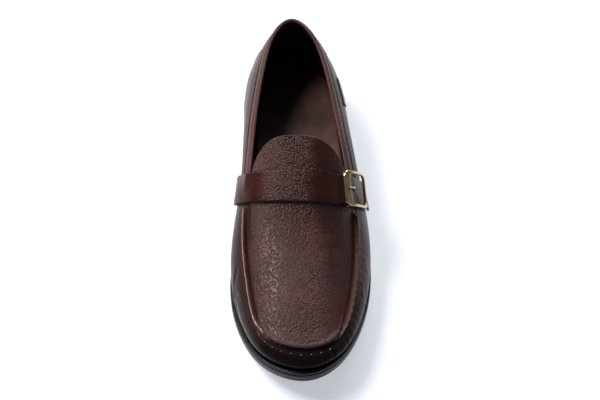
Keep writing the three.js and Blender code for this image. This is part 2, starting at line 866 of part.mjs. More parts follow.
function roundedRectangle(shape, x0, x1, halfWidth, radius) {
  shape.moveTo(x0 + radius, -halfWidth);
  shape.lineTo(x1 - radius, -halfWidth);
  shape.absarc(x1 - radius, -halfWidth + radius, radius, -Math.PI / 2, 0, false);
  shape.lineTo(x1, halfWidth - radius);
  shape.absarc(x1 - radius, halfWidth - radius, radius, 0, Math.PI / 2, false);
  shape.lineTo(x0 + radius, halfWidth);
  shape.absarc(x0 + radius, halfWidth - radius, radius, Math.PI / 2, Math.PI, false);
  shape.lineTo(x0, -halfWidth + radius);
  shape.absarc(x0 + radius, -halfWidth + radius, radius, Math.PI, 1.5 * Math.PI, false);
  return shape;
}

// How far the bowed frame dips below its middle at x.
function bowAt(x) {
  const fromMiddle = (x - buckleTop - buckleLength / 2) / (buckleLength / 2);
  return -buckleBow * fromMiddle ** 2;
}

// The frame is pressed from sheet with bevelled edges and bowed; its hinge bar runs under the
// strap and is carried by a lug at each end.
function buildBuckle() {
  const bevel = buckleBevel;
  const end = buckleTop + buckleLength;
  const halfWidth = buckleWidth / 2;
  const outline = roundedRectangle(
    new THREE.Shape(), buckleTop + bevel, end - bevel, halfWidth - bevel, buckleCorner - bevel,
  );
  outline.holes.push(
    roundedRectangle(
      new THREE.Path(),
      buckleTop + buckleWideBar + bevel,
      end - buckleThinBar + bevel,
      halfWidth - buckleSideBar + bevel,
      buckleCorner - buckleSideBar,
    ),
  );
  const frame = new THREE.ExtrudeGeometry(outline, {
    depth: buckleThickness - 2 * bevel,
    bevelThickness: bevel,
    bevelSize: bevel,
    bevelSegments: 1,
    curveSegments: 5,
  });
  frame.translate(0, 0, clearance + bevel);
  const places = frame.getAttribute("position");
  for (let i = 0; i < places.count; i++) {
    places.setZ(i, places.getZ(i) + buckleBow + bowAt(places.getX(i)));
  }
  const hingeDepth = -strapThickness - clearance - hingeBarDiameter / 2;
  const barRadius = hingeBarDiameter / 2;
  const barLength = buckleWidth - buckleSideBar;
  const bar = new THREE.CylinderGeometry(barRadius, barRadius, barLength, roundSegments);
  bar.translate(0, 0, hingeDepth);
  let solid = toSolid(frame).add(toSolid(bar));
  for (const side of [-1, 1]) {
    const rise = clearance + buckleBow + buckleThickness / 2 - hingeDepth;
    const lug = new THREE.BoxGeometry(lugLength, lugWidth, rise);
    lug.translate(0, side * (halfWidth - buckleSideBar / 2), hingeDepth + rise / 2);
    solid = solid.add(toSolid(lug));
  }
  return toGeometry(solid);
}

// The prong stands on the hinge bar, comes up through the strap's first hole, bends over and
// rests on the wide bar. x: place down the strap, in prong diameters, or the tip's on the wide
// bar. up: height, in shares of the prong's rise.
const prongRise = 2 * clearance + buckleBow + buckleThickness + prongDiameter / 2;
const prongTip = -0.83 * buckleWideBar;
const prongPoints = [
  { x: 0.17 * prongDiameter, z: -strapThickness - clearance },
  { x: 0.17 * prongDiameter, z: 0 },
  { x: 0.17 * prongDiameter, z: 0.5 * prongRise },
  { x: -0.28 * prongDiameter, z: 0.93 * prongRise },
  { x: 0.38 * prongTip, z: prongRise },
  { x: prongTip - hingeFromWideBar, z: prongRise + bowAt(prongTip) },
];

function buildProng() {
  const radius = prongDiameter / 2;
  const section = new THREE.Shape();
  section.absarc(0, 0, radius, 0, 2 * Math.PI, false);
  const path = new THREE.CatmullRomCurve3(prongPoints.map(({ x, z }) => new THREE.Vector3(x, 0, z)));
  return new THREE.ExtrudeGeometry(section, {
    steps: 10, curveSegments: 5, bevelEnabled: false, extrudePath: path,
  });
}

function buildStrap() {
  let strap = toSolid(plate(strapGrid(), strapGap, strapGap + strapThickness));
  const turn = new THREE.Matrix4().makeRotationX(Math.PI / 2);
  const radius = holeDiameter / 2;
  for (const x of [0, holeSpacing]) {
    const drill = new THREE.CylinderGeometry(radius, radius, 5 * strapThickness, roundSegments);
    drill.applyMatrix4(turn);
    drill.translate(x, 0, -strapThickness / 2);
    drill.applyMatrix4(buckleMatrix);
    strap = strap.subtract(toSolid(drill));
  }
  return toGeometry(strap);
}

// A patch on the wall between two ring places; height gives the shares of the wall's height
// between which it stands at each place.
function wallPatch(from, to, columns, rows, height, thickness) {
  const grid = steps(rows).map((t) =>
    steps(columns).map((s) => {
      const u = mix(from, to, s) + ringSpan;
      const [low, high] = height(u, 2 * s - 1);
      const v = mix(low, high, t);
      return { point: wallPoint(u, v), normal: wallNormal(u, v) };
    }),
  );
  return plate(grid, clearance, clearance + thickness);
}

// The heel counter is an arch round the heel's back, up from the sole.
const counterShare = [0.3, 1];
const counterArch = (t) => mix(...counterShare, Math.sqrt(1 - Math.abs(t) ** 3));

function buildCounter() {
  const height = (u, s) => {
    const foot = clearance / wallHeight(u);
    return [foot, (1 - counterDrop / wallHeight(u)) * counterArch(s)];
  };
  return wallPatch(
    -counterReach, counterReach, counterSteps, counterRows, height, counterThickness,
  );
}

// The plain tab under the collar band, on the outer side.
function buildTab() {
  const stationLength = topPoint(tabStation - 0.5).distanceTo(topPoint(tabStation + 0.5));
  const reach = tabLength / 2 / stationLength;
  const height = (u) => {
    const high = 1 - tabDrop / wallHeight(u);
    return [high - tabHeight / wallHeight(u), high];
  };
  return wallPatch(tabStation - reach, tabStation + reach, 4, 1, height, tabThickness);
}

const materials = {
  rubber: { color: 0x0d0d10, roughness: 0.45, metalness: 0 },
  brownLeather: { color: 0x3a211c, roughness: 0.42, metalness: 0 },
  lining: { color: 0x24130e, roughness: 0.6, metalness: 0 },
  tabLeather: { color: 0x6b4a33, roughness: 0.6, metalness: 0 },
  brass: { color: 0xb08d3c, roughness: 0.3, metalness: 1 },
};

const shoe = new THREE.Group();
const last = new THREE.Group();
last.rotation.z = -Math.PI / 2;
shoe.add(last);

function addPiece(name, geometry, finish, parent = last) {
  const mesh = new THREE.Mesh(geometry, new THREE.MeshStandardMaterial(materials[finish]));
  mesh.name = name;
  parent.add(mesh);
}

addPiece("outsole", buildOutsole(), "rubber");
addPiece("insole", buildInsole(), "lining");
addPiece("upper", buildUpper(), "brownLeather");
addPiece("tongue", buildTongue(), "brownLeather");
addPiece("strap", buildStrap(), "brownLeather");
addPiece("counter", buildCounter(), "brownLeather");
addPiece("side_tab", buildTab(), "tabLeather");

const buckle = new THREE.Group();
buckleMatrix.decompose(buckle.position, buckle.quaternion, buckle.scale);
last.add(buckle);
addPiece("buckle_frame", buildBuckle(), "brass", buckle);
addPiece("buckle_prong", buildProng(), "brass", buckle);

shoe.updateMatrixWorld(true);
const middle = new THREE.Box3().setFromObject(shoe, true).getCenter(new THREE.Vector3());
shoe.position.set(-middle.x, -middle.y, 0);

export default shoe;
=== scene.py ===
# %% [markdown]
# # A buckle loafer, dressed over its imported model
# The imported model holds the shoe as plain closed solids. This lesson gives each of them the
# surface that the real shoe has: pebbled leather with a raised moccasin seam, a rolled collar,
# a moulded rubber sole, a brushed brass buckle. Nearly every piece is a surface worked out
# with numpy, a grid of points that a formula places, so the steps can be read as geometry.

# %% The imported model
import bmesh
import bpy
import numpy as np
from mathutils import Matrix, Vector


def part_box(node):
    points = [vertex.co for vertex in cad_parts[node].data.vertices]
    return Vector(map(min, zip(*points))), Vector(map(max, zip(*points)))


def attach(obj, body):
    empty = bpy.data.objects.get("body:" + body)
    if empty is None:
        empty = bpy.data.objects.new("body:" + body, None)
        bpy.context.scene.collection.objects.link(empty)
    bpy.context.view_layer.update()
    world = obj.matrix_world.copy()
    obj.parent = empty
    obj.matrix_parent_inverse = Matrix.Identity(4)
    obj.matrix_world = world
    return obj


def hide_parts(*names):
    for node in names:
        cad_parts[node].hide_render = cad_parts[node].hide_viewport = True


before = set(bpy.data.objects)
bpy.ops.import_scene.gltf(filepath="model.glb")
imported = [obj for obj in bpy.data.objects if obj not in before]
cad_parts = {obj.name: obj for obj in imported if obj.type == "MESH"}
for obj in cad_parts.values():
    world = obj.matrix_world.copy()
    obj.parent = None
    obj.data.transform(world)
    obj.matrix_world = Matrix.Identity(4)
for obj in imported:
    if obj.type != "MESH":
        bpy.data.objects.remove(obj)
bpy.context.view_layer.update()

print("packed nodes:", sorted(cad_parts))

# %% [markdown]
# ## The last, as a ring
# A shoe is built round a last, the form of the foot. A place on the shoe is written here as
# (along, across, up) in millimetres: along from the heel's back to the toe, across towards the
# outer side, up from the floor. The ring has 24 stations: 0 is the heel's back, 1 to 11 run
# down the inner side, 12 is the toe, 13 to 23 come back on the outer side. The table holds the
# last's sections as shares of the shoe's driving sizes, and a closed spline joins them.

# %% Driving sizes, in millimetres
shoe_length = 300
ball_width = 103
heel_top = 85
heel_thickness, fore_thickness = 20.5, 12.5
toe_spring, spring_start, spring_curve = 18, 210, 1.9
heel_slope_start, heel_slope_end = 66, 165
heel_block, breast_slope, breast_height, arch_end = 74, 3, 9, 141
edge_depth = 2.6
wall_swell = 10
wall_thickness = 2.0
instep_height = 80.5
feather_inset = 7
band_height = 13.5
clearance = 0.3
roundness_throat, roundness_toe = 2.8, 2.0

last_columns = (
    "along sole_in sole_out inset top_along top_in top_out top_in_up top_out_up low high"
).split()
last_rows = np.array([
    [0.0, 0.0, 0.0, 0.57, 0.05, 0.0, 0.0, 1.0, 1.0, 1.0, 0.35],
    [0.02, 0.2, 0.195, 0.57, 0.074, 0.106, 0.112, 0.985, 0.975, 1.0, 0.4],
    [0.075, 0.333, 0.33, 0.57, 0.132, 0.186, 0.2, 0.935, 0.912, 1.0, 0.55],
    [0.16, 0.372, 0.38, 0.57, 0.22, 0.243, 0.26, 0.865, 0.835, 1.0, 0.75],
    [0.26, 0.357, 0.395, 0.57, 0.308, 0.285, 0.298, 0.806, 0.776, 1.0, 0.9],
    [0.365, 0.345, 0.418, 0.57, 0.395, 0.315, 0.332, 0.765, 0.724, 1.0, 1.0],
    [0.47, 0.367, 0.455, 0.64, 0.485, 0.341, 0.368, 0.72, 0.66, 1.0, 1.0],
    [0.575, 0.433, 0.495, 0.71, 0.577, 0.367, 0.397, 0.65, 0.57, 1.0, 1.0],
    [0.68, 0.482, 0.505, 0.79, 0.672, 0.38, 0.4, 0.568, 0.485, 1.0, 0.95],
    [0.785, 0.468, 0.462, 0.86, 0.768, 0.362, 0.372, 0.515, 0.435, 0.95, 0.9],
    [0.885, 0.385, 0.362, 0.93, 0.865, 0.325, 0.315, 0.495, 0.425, 0.9, 0.85],
    [0.963, 0.235, 0.215, 1.0, 0.938, 0.228, 0.215, 0.49, 0.455, 0.85, 0.8],
    [1.0, 0.0, 0.0, 1.0, 0.966, 0.0, 0.0, 0.485, 0.485, 0.85, 0.8],
])
toe = len(last_rows) - 1
ring_span = 2 * toe
throat = 6.75
print("sections:", len(last_rows), "stations round the shoe:", ring_span)

# %% Small helpers of form


def mix(a, b, t):
    """The value a share t of the way from a to b."""
    return a + (b - a) * t


def ease(low, high, x):
    """0 below low, 1 above high, and 3t^2 - 2t^3 between them."""
    t = np.clip((np.asarray(x, float) - low) / (high - low), 0, 1)
    return t * t * (3 - 2 * t)


def bump(x, centre, width):
    """A soft hill, exp(-((x - centre) / width)^2)."""
    return np.exp(-(((x - centre) / width) ** 2))


def unit(v):
    """Each vector divided by its length."""
    return v / np.maximum(np.linalg.norm(v, axis=-1, keepdims=True), 1e-9)


def stack(along, across, up):
    """Three arrays of coordinates joined into one array of points."""
    return np.stack(np.broadcast_arrays(along, across, up), -1).astype(float)


def end_dense(count):
    """Shares from 0 to 1 that lie closer together at both ends: (1 - cos(pi i / n)) / 2."""
    return (1 - np.cos(np.pi * np.arange(count + 1) / count)) / 2


# %% Curves through tables


def closed_curve(values):
    """A closed cubic B-spline through the values. In the frequency domain a B-spline weighs its
    control values by (4 + 2 cos w) / 6, so dividing by that weight gives the control values."""
    values = np.asarray(values, float)
    count = len(values)
    weight = (4 + 2 * np.cos(2 * np.pi * np.arange(count) / count)) / 6
    control = np.fft.ifft(np.fft.fft(values) / weight).real

    def at(u):
        u = np.asarray(u, float)
        i = np.floor(u).astype(int)
        t = u - i
        return (
            control[(i - 1) % count] * (1 - t) ** 3
            + control[i % count] * (3 * t**3 - 6 * t**2 + 4)
            + control[(i + 1) % count] * (-3 * t**3 + 3 * t**2 + 3 * t + 1)
            + control[(i + 2) % count] * t**3
        ) / 6

    return at


def ring_curve(inner, outer, size=1.0, mirror=False):
    """A closed curve from two columns of the table, the inner side's and the outer side's."""
    low = last_rows[:, last_columns.index(inner)] * (-size if mirror else size)
    high = last_rows[:, last_columns.index(outer)] * size
    return closed_curve(np.concatenate([low, high[-2:0:-1]]))


def smooth_table(rows):
    """A smooth function through rows of (x, y): a cubic Hermite curve whose slope at each row
    is that of the line between its two neighbours."""
    x, y = np.array(rows, float).T
    before = np.maximum(np.arange(len(x)) - 1, 0)
    after = np.minimum(np.arange(len(x)) + 1, len(x) - 1)
    slope = (y[after] - y[before]) / (x[after] - x[before])

    def at(value):
        value = np.clip(value, x[0], x[-1])
        j = np.clip(np.searchsorted(x, value), 1, len(x) - 1)
        span = x[j] - x[j - 1]
        t = (value - x[j - 1]) / span
        return (
            y[j - 1] * (1 + 2 * t) * (1 - t) ** 2
            + y[j] * t**2 * (3 - 2 * t)
            + slope[j - 1] * span * t * (1 - t) ** 2
            - slope[j] * span * t**2 * (1 - t)
        )

    return at


outline_along = ring_curve("along", "along", shoe_length)
outline_across = ring_curve("sole_in", "sole_out", ball_width, mirror=True)
inset_at = ring_curve("inset", "inset", feather_inset)
top_along = ring_curve("top_along", "top_along", shoe_length)
top_across = ring_curve("top_in", "top_out", ball_width, mirror=True)
top_up = ring_curve("top_in_up", "top_out_up", heel_top)
swell_low = ring_curve("low", "low", wall_swell)
swell_high = ring_curve("high", "high", wall_swell)
print("outline at the ball, across:", outline_across(np.array([8.0, 16.0])).round(1))

# %% [markdown]
# ## From the shoe's own places to the model's frame
# The model stands with its toe towards -Y and its outer side towards +X, in metres. The packed
# outsole's box says where the heel's back and the outer edge lie, and that places everything.

# %% Into the model's frame
outsole_low, outsole_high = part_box("outsole")
fine_ring = np.linspace(0, ring_span, 4801)
shift_x = outsole_high[0] - outline_across(fine_ring).max() / 1000
shift_y = outsole_high[1] - outline_along(fine_ring).min() / 1000


def to_model(points):
    """(along, across, up) in millimetres to the model's metres: x from across, y from along."""
    x = shift_x + points[..., 1] / 1000
    y = shift_y - points[..., 0] / 1000
    return np.stack([x, y, points[..., 2] / 1000], -1)


print("heel's back at y =", round(float(shift_y), 4), "middle line at x =", round(float(shift_x), 4))

# %% [markdown]
# ## Sole heights, wall and vamp
# These functions give the shoe's main surfaces. The sole's top edge is thick at the heel and
# thin at the front, and follows the toe spring. The wall rises from the feather line, where the
# upper meets the sole, to the top line. The vamp is a crown over the line between its seams.

# %% Heights of the sole


def floor_line(along):
    """Zero as far as the ball, then spring * t^curve, the lift under the toe."""
    t = np.clip((along - spring_start) / (shoe_length - spring_start), 0, 1)
    return toe_spring * t**spring_curve


def sole_top(along):
    """The floor line plus the sole's thickness, which eases from the heel's to the forepart's."""
    heel_share = 1 - ease(heel_slope_start, heel_slope_end, along)
    return floor_line(along) + mix(fore_thickness, heel_thickness, heel_share)


def sole_bottom(along):
    """The floor line, raised over the arch between the heel's breast and the forepart."""
    behind = ease(heel_block, heel_block + breast_slope, along)
    ahead = 1 - ease(heel_block, arch_end, along)
    return floor_line(along) + breast_height * behind * ahead


# %% The outline and the wall


def outline_normal(u):
    """The outward normal of the sole's outline in plan: its tangent turned a quarter."""
    along = outline_along(u + 0.01) - outline_along(u - 0.01)
    across = outline_across(u + 0.01) - outline_across(u - 0.01)
    return unit(stack(across, -along, 0))


def ring_point(u, back, up=0.0):
    """A point set back from the outline by a distance, at a height."""
    flat = stack(outline_along(u), outline_across(u), 0) - outline_normal(u) * np.expand_dims(
        np.broadcast_to(back, np.shape(u)), -1
    )
    flat[..., 2] = up(flat[..., 0]) if callable(up) else up
    return flat


def feather(u):
    """Where the upper meets the sole."""
    return ring_point(u, inset_at(u), lambda along: sole_top(along) + clearance)


def top_line(u):
    """The collar behind the throat, the moccasin seam in front of it."""
    return stack(top_along(u), top_across(u), top_up(u))


def wall(u, v):
    """Straight from the feather to the top line, plus an outward swell 3 v (1 - v) (a (1 - v) + b v)."""
    v = np.broadcast_to(v, np.shape(u))
    swell = 3 * v * (1 - v) * (swell_low(u) * (1 - v) + swell_high(u) * v)
    return mix(feather(u), top_line(u), v[..., None]) + outline_normal(u) * swell[..., None]


def wall_normal(u, v):
    """The cross product of the wall's two tangents."""
    h = 0.01
    tangent_u = wall(u + h, v) - wall(u - h, v)
    tangent_v = wall(u, v + h) - wall(u, v - h)
    return unit(np.cross(tangent_u, tangent_v))


def wall_height(u):
    """The straight distance from feather to top line."""
    return np.linalg.norm(top_line(u) - feather(u), axis=-1)


# %% The vamp and what follows it
throat_along = float(top_along(throat))
seam_tip = float(top_along(toe))
back_from_toe = np.linspace(0, toe / 2, 6001)[::-1]
seam_in = top_line(toe - back_from_toe)
seam_out = top_line(toe + back_from_toe)
crown_share = smooth_table([
    (0.0, 1.0), (0.13, 0.79), (0.23, 0.67), (0.33, 0.6), (0.52, 0.54), (0.74, 0.42), (0.92, 0.19),
    (1.0, 0.0),
])


def seam_pair(along):
    """Across and up of the inner and the outer seam at a place along the shoe."""
    inner = [np.interp(along, seam_in[:, 0], seam_in[:, k]) for k in (1, 2)]
    outer = [np.interp(along, seam_out[:, 0], seam_out[:, k]) for k in (1, 2)]
    return inner, outer


throat_in, throat_out = seam_pair(throat_along)
throat_crown = instep_height - (throat_in[1] + throat_out[1]) / 2
tongue_rise, tongue_reach = 14.5, 24


def vamp_up(along, across):
    """The line between the seams plus a crown c (1 - |2t - 1|^r), t the share across."""
    (in_across, in_up), (out_across, out_up) = seam_pair(along)
    t = np.clip((across - in_across) / np.maximum(out_across - in_across, 0.01), 0, 1)
    share = (along - throat_along) / (seam_tip - throat_along)
    roundness = mix(roundness_throat, roundness_toe, np.clip(share, 0, 1))
    crown = throat_crown * crown_share(share)
    return mix(in_up, out_up, t) + crown * (1 - np.abs(2 * t - 1) ** roundness)


def instep(along, across):
    """The vamp, carried on behind the throat in a straight rise towards the leg."""
    behind = np.maximum(0, throat_along - along)
    up = vamp_up(np.maximum(along, throat_along), across) + behind * tongue_rise / tongue_reach
    return stack(along, across, up)


def instep_normal(along, across):
    """The normal of a height over the plan: (-dz/da, -dz/dc, 1) made unit."""
    h = 0.05
    slope_a = (instep(along + h, across) - instep(along - h, across))[..., 2] / (2 * h)
    slope_c = (instep(along, across + h) - instep(along, across - h))[..., 2] / (2 * h)
    return unit(stack(-slope_a, -slope_c, 1.0))


print("crown of the instep over the throat's seams:", round(float(throat_crown), 1), "mm")

# %% [markdown]
# ## Putting a grid into a mesh
# A surface arrives as a grid of points, rows by columns. The helper below joins neighbours into
# four-cornered faces, welds points that fall together at poles and borders, and hands the mesh
# to the frame: which body it rides on, which solid it stands for, which finish it takes. Named
# arrays ride along as attributes, so a material can tell an edge from a face.

# %% From grid to piece


def lattice(rows, cols, close_rows=False, close_cols=False, first=0):
    """Corner numbers of the faces of a grid; a closed direction joins its last line to the first."""
    i = np.arange(rows if close_rows else rows - 1)
    j = np.arange(cols if close_cols else cols - 1)
    i, j = np.meshgrid(i, j, indexing="ij")
    below, above = i * cols, ((i + 1) % rows) * cols
    right = (j + 1) % cols
    corners = [below + j, below + right, above + right, above + j]
    return np.stack(corners, -1).reshape(-1, 4) + first


def join(parts):
    """Several (points, faces) joined into one, the numbers of later faces raised."""
    points, faces, count = [], [], 0
    for part_points, part_faces in parts:
        flat = part_points.reshape(-1, 3)
        points.append(flat)
        faces.append(part_faces + count)
        count += len(flat)
    return np.concatenate(points), np.concatenate(faces)


def add_piece(name, points, faces, material, stands_for=(), notes=None):
    """A mesh object at the origin from millimetre points and four-cornered faces."""
    flat = to_model(points).reshape(-1, 3)
    mesh = bpy.data.meshes.new(name)
    mesh.vertices.add(len(flat))
    mesh.vertices.foreach_set("co", flat.ravel())
    mesh.loops.add(faces.size)
    mesh.loops.foreach_set("vertex_index", faces.ravel())
    mesh.polygons.add(len(faces))
    mesh.polygons.foreach_set("loop_start", np.arange(0, faces.size, 4))
    mesh.update(calc_edges=True)
    for note, values in (notes or {}).items():
        is_vector = np.shape(values)[-1] == 3
        layer = mesh.attributes.new(note, "FLOAT_VECTOR" if is_vector else "FLOAT", "POINT")
        layer.data.foreach_set("vector" if is_vector else "value", np.ravel(values))
    work = bmesh.new()
    work.from_mesh(mesh)
    bmesh.ops.remove_doubles(work, verts=work.verts, dist=2e-6)
    bmesh.ops.dissolve_degenerate(work, edges=work.edges, dist=1e-7)
    open_edges = sum(not edge.is_manifold for edge in work.edges)
    work.to_mesh(mesh)
    work.free()
    mesh.shade_smooth()
    mesh.materials.append(material)
    piece = bpy.data.objects.new(name, mesh)
    bpy.context.scene.collection.objects.link(piece)
    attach(piece, "root")
    if stands_for:
        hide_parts(*stands_for)
    triangles = sum(len(polygon.vertices) - 2 for polygon in mesh.polygons)
    print(f"{name}: {triangles} triangles, {open_edges} open edges")
    return piece


def slab(middle, normal, half):
    """A closed sheet: one face stands half above the middle surface and one half below, and
    where half falls to zero, on the border, the two meet."""
    rows, cols = half.shape
    over = middle + normal * half[..., None]
    under = middle - normal * half[..., None]
    faces = lattice(rows, cols)
    return join([(over, faces), (under, faces[:, ::-1])])


def round_edge(distance, radius):
    """How full a sheet is near its border: sqrt(1 - (1 - d / r)^2), a quarter circle."""
    t = np.clip(distance / radius, 0, 1)
    return np.sqrt(np.maximum(1 - (1 - t) ** 2, 0))


# %% [markdown]
# ## Leather
# The real leather is a dark reddish brown, embossed with pebbles of about 1.5 mm, waxed, and
# more polished on the walls than on the top. A cell pattern gives the pebbles: the distance to
# a cell's border is low in the creases and high on the pebbles. It is read from Object
# coordinates, so it has one scale over the whole shoe. The creases are darkened with painted
# shade. Attributes on the mesh say where the leather is polished, where an edge is painted dark,
# where dirt and wax darken a groove together with painted shade, where a ridge is lightened with
# a painted highlight, and where painted shade darkens the toe and the front's inner side.

# %% Shader helpers


class Shader:
    """A material under construction, with short names for the nodes used here."""

    def __init__(self, name):
        self.material = bpy.data.materials.new(name)
        self.material.use_nodes = True
        self.tree = self.material.node_tree
        self.surface = self.tree.nodes["Principled BSDF"]
        self.place = self.tree.nodes.new("ShaderNodeTexCoord").outputs["Object"]

    def node(self, kind, **settings):
        made = self.tree.nodes.new(kind)
        for key, value in settings.items():
            setattr(made, key, value)
        return made

    def feed(self, socket, value):
        if isinstance(value, bpy.types.NodeSocket):
            self.tree.links.new(value, socket)
        else:
            socket.default_value = value

    def maths(self, operation, a, b=0.0, clamp=False):
        made = self.node("ShaderNodeMath", operation=operation, use_clamp=clamp)
        self.feed(made.inputs[0], a)
        self.feed(made.inputs[1], b)
        return made.outputs[0]

    def span(self, value, low, high, out_low=0.0, out_high=1.0):
        """Carries low..high to out_low..out_high on a smooth step."""
        made = self.node("ShaderNodeMapRange", interpolation_type="SMOOTHSTEP")
        for slot_name, item in zip(("Value", "From Min", "From Max", "To Min", "To Max"),
                                   (value, low, high, out_low, out_high)):
            self.feed(made.inputs[slot_name], item)
        return made.outputs["Result"]

    def noise(self, scale, detail=2.0, roughness=0.5, place=None):
        made = self.node("ShaderNodeTexNoise")
        self.feed(made.inputs["Vector"], self.place if place is None else place)
        made.inputs["Scale"].default_value = scale
        made.inputs["Detail"].default_value = detail
        made.inputs["Roughness"].default_value = roughness
        return made

    def domes(self, scale, place):
        """Rounded cells: 1 - (1.6 d)^2, d the distance to the nearest cell's middle."""
        made = self.node("ShaderNodeTexVoronoi", feature="F1")
        self.feed(made.inputs["Vector"], place)
        made.inputs["Scale"].default_value = scale
        made.inputs["Randomness"].default_value = 0.8
        far = self.maths("MULTIPLY", made.outputs["Distance"], 1.6)
        return self.maths("SUBTRACT", 1.0, self.maths("MULTIPLY", far, far), clamp=True)

    def note(self, name):
        made = self.node("ShaderNodeAttribute", attribute_name=name)
        return made

    def blend(self, share, first, second):
        """A colour between two, by a share."""
        made = self.node("ShaderNodeMix", data_type="RGBA")
        self.feed(made.inputs["Factor"], share)
        self.feed(made.inputs["A"], first)
        self.feed(made.inputs["B"], second)
        return made.outputs["Result"]

    def relief(self, height, distance):
        made = self.node("ShaderNodeBump")
        made.inputs["Distance"].default_value = distance
        made.inputs["Strength"].default_value = 1.0
        self.feed(made.inputs["Height"], height)
        self.feed(self.surface.inputs["Normal"], made.outputs["Normal"])

    def set(self, **values):
        for key, value in values.items():
            self.feed(self.surface.inputs[key.replace("_", " ").title().replace("Ior", "IOR")], value)


def rgb(red, green, blue):
    """An opaque colour."""
    return (red, green, blue, 1.0)


# %% Waxed leather


def waxed_leather(name, dark, bright, pebble=0.0012, depth=0.0004, gloss=0.33, polish_gloss=0.26):
    """Pebbles by cell borders at two sizes, warped a little, over a fine pore noise; the colour
    drifts between a dark and a bright brown, is darkened with painted shade in the creases, at
    the toe and on the front's inner side, with dirt and wax and painted shade in grooves and with
    dark paint on edges, and is lightened with a painted highlight on ridges."""
    s = Shader(name)
    drift = s.noise(150.0, 2.0)
    warp = s.node("ShaderNodeVectorMath", operation="MULTIPLY_ADD")
    s.feed(warp.inputs[0], drift.outputs["Color"])
    warp.inputs[1].default_value = (0.0006, 0.0006, 0.0006)
    s.feed(warp.inputs[2], s.place)
    place = warp.outputs[0]
    large = s.domes(1 / pebble, place)
    small = s.domes(2.3 / pebble, place)
    pores = s.noise(4200.0, 2.0).outputs["Fac"]
    polish = s.note("polish").outputs["Fac"]
    edge = s.note("edge").outputs["Fac"]
    groove = s.note("groove").outputs["Fac"]
    ridge = s.note("ridge").outputs["Fac"]
    pebbles = s.maths("ADD", s.maths("MULTIPLY", large, 0.85), s.maths("MULTIPLY", small, 0.15))
    plain = s.maths("MAXIMUM", polish, edge)
    grain = s.maths("MULTIPLY", pebbles, s.maths("SUBTRACT", 1.0, s.maths("MULTIPLY", plain, 0.86)))
    height = s.maths("ADD", grain, s.maths("MULTIPLY", pores, 0.05))
    s.relief(height, depth)
    clouds = s.span(s.noise(24.0, 3.0, 0.6).outputs["Fac"], 0.34, 0.66)
    colour = s.blend(clouds, dark, bright)
    # Painted shade: the creases between the pebbles are darkened towards 0.45 of the dark brown.
    crease_shade = s.maths("MULTIPLY", s.maths("SUBTRACT", 1.0, large), 0.65)
    colour = s.blend(crease_shade, colour, rgb(*[channel * 0.45 for channel in dark[:3]]))
    # Painted highlight: where the ridge note is high, the colour is lightened towards this pale reddish brown; the
    # same note also raises the shine below.
    ridge_highlight_colour = rgb(0.22, 0.115, 0.1)
    colour = s.blend(s.maths("MULTIPLY", ridge, 0.6), colour, ridge_highlight_colour)
    # Painted shade: where this note is high, at the toe and along the front's inner side, the colour is darkened
    # nearly to black.
    painted_shade = s.note("painted_shade").outputs["Fac"]
    colour = s.blend(s.maths("MULTIPLY", painted_shade, 0.85), colour, rgb(0.0044, 0.004, 0.0048))
    # The groove note darkens the colour: dirt and wax in the seams, and painted shade in the recesses.
    colour = s.blend(s.maths("MULTIPLY", groove, 0.8), colour, rgb(0.006, 0.004, 0.004))
    colour = s.blend(s.maths("MULTIPLY", edge, 0.92), colour, rgb(0.012, 0.011, 0.012))
    rough = s.span(polish, 0.0, 1.0, gloss, polish_gloss)
    rough = s.maths("ADD", rough, s.maths("MULTIPLY", s.maths("SUBTRACT", pores, 0.5), 0.22))
    rough = s.maths("ADD", rough, s.maths("MULTIPLY", groove, 0.25), clamp=True)
    shine = s.maths("ADD", s.span(polish, 0.0, 1.0, 0.44, 0.04),
                    s.maths("MULTIPLY", s.maths("MULTIPLY", ridge, ridge), 0.9))
    shine = s.maths("MULTIPLY", shine, s.maths("SUBTRACT", 1.0, s.maths("MULTIPLY", edge, 0.75)))
    s.set(base_color=colour, roughness=rough, specular_ior_level=shine,
          specular_tint=rgb(1.0, 0.74, 0.7))
    return s.material


brown_dark, brown_bright = rgb(0.02, 0.0048, 0.004), rgb(0.049, 0.0105, 0.0084)
pebbled = waxed_leather("pebbled_leather", brown_dark, brown_bright)
# Painted shade: a near-black copy of the brown leather, which the heel counter takes.
shaded_counter_leather = waxed_leather("shaded_counter_leather", rgb(0.008, 0.0045, 0.0045), rgb(0.018, 0.008, 0.0075))
tab_leather = waxed_leather("tab_leather", rgb(0.11, 0.055, 0.03), rgb(0.2, 0.11, 0.06), 0.0009)
print("leathers:", pebbled.name, shaded_counter_leather.name, tab_leather.name)

# %% Lining, thread


def lining_finish(name):
    """Smooth brown lining leather that turns to black cloth round the heel."""
    s = Shader(name)
    heel = s.note("heel").outputs["Fac"]
    weave = s.node("ShaderNodeTexWave", wave_type="BANDS", bands_direction="Z")
    s.feed(weave.inputs["Vector"], s.place)
    weave.inputs["Scale"].default_value = 380.0
    weave.inputs["Distortion"].default_value = 1.2
    pores = s.noise(2600.0, 3.0).outputs["Fac"]
    folds = s.noise(60.0, 2.0).outputs["Fac"]
    cloth = s.maths("MULTIPLY", weave.outputs["Fac"], s.maths("MULTIPLY", heel, 0.7))
    s.relief(s.maths("ADD", s.maths("MULTIPLY", pores, 0.5), cloth), 0.00012)
    brown = s.blend(s.span(folds, 0.35, 0.65), rgb(0.036, 0.0135, 0.0105), rgb(0.07, 0.027, 0.02))
    colour = s.blend(heel, brown, rgb(0.006, 0.006, 0.007))
    s.set(base_color=colour, roughness=s.span(heel, 0.0, 1.0, 0.42, 0.85))
    return s.material


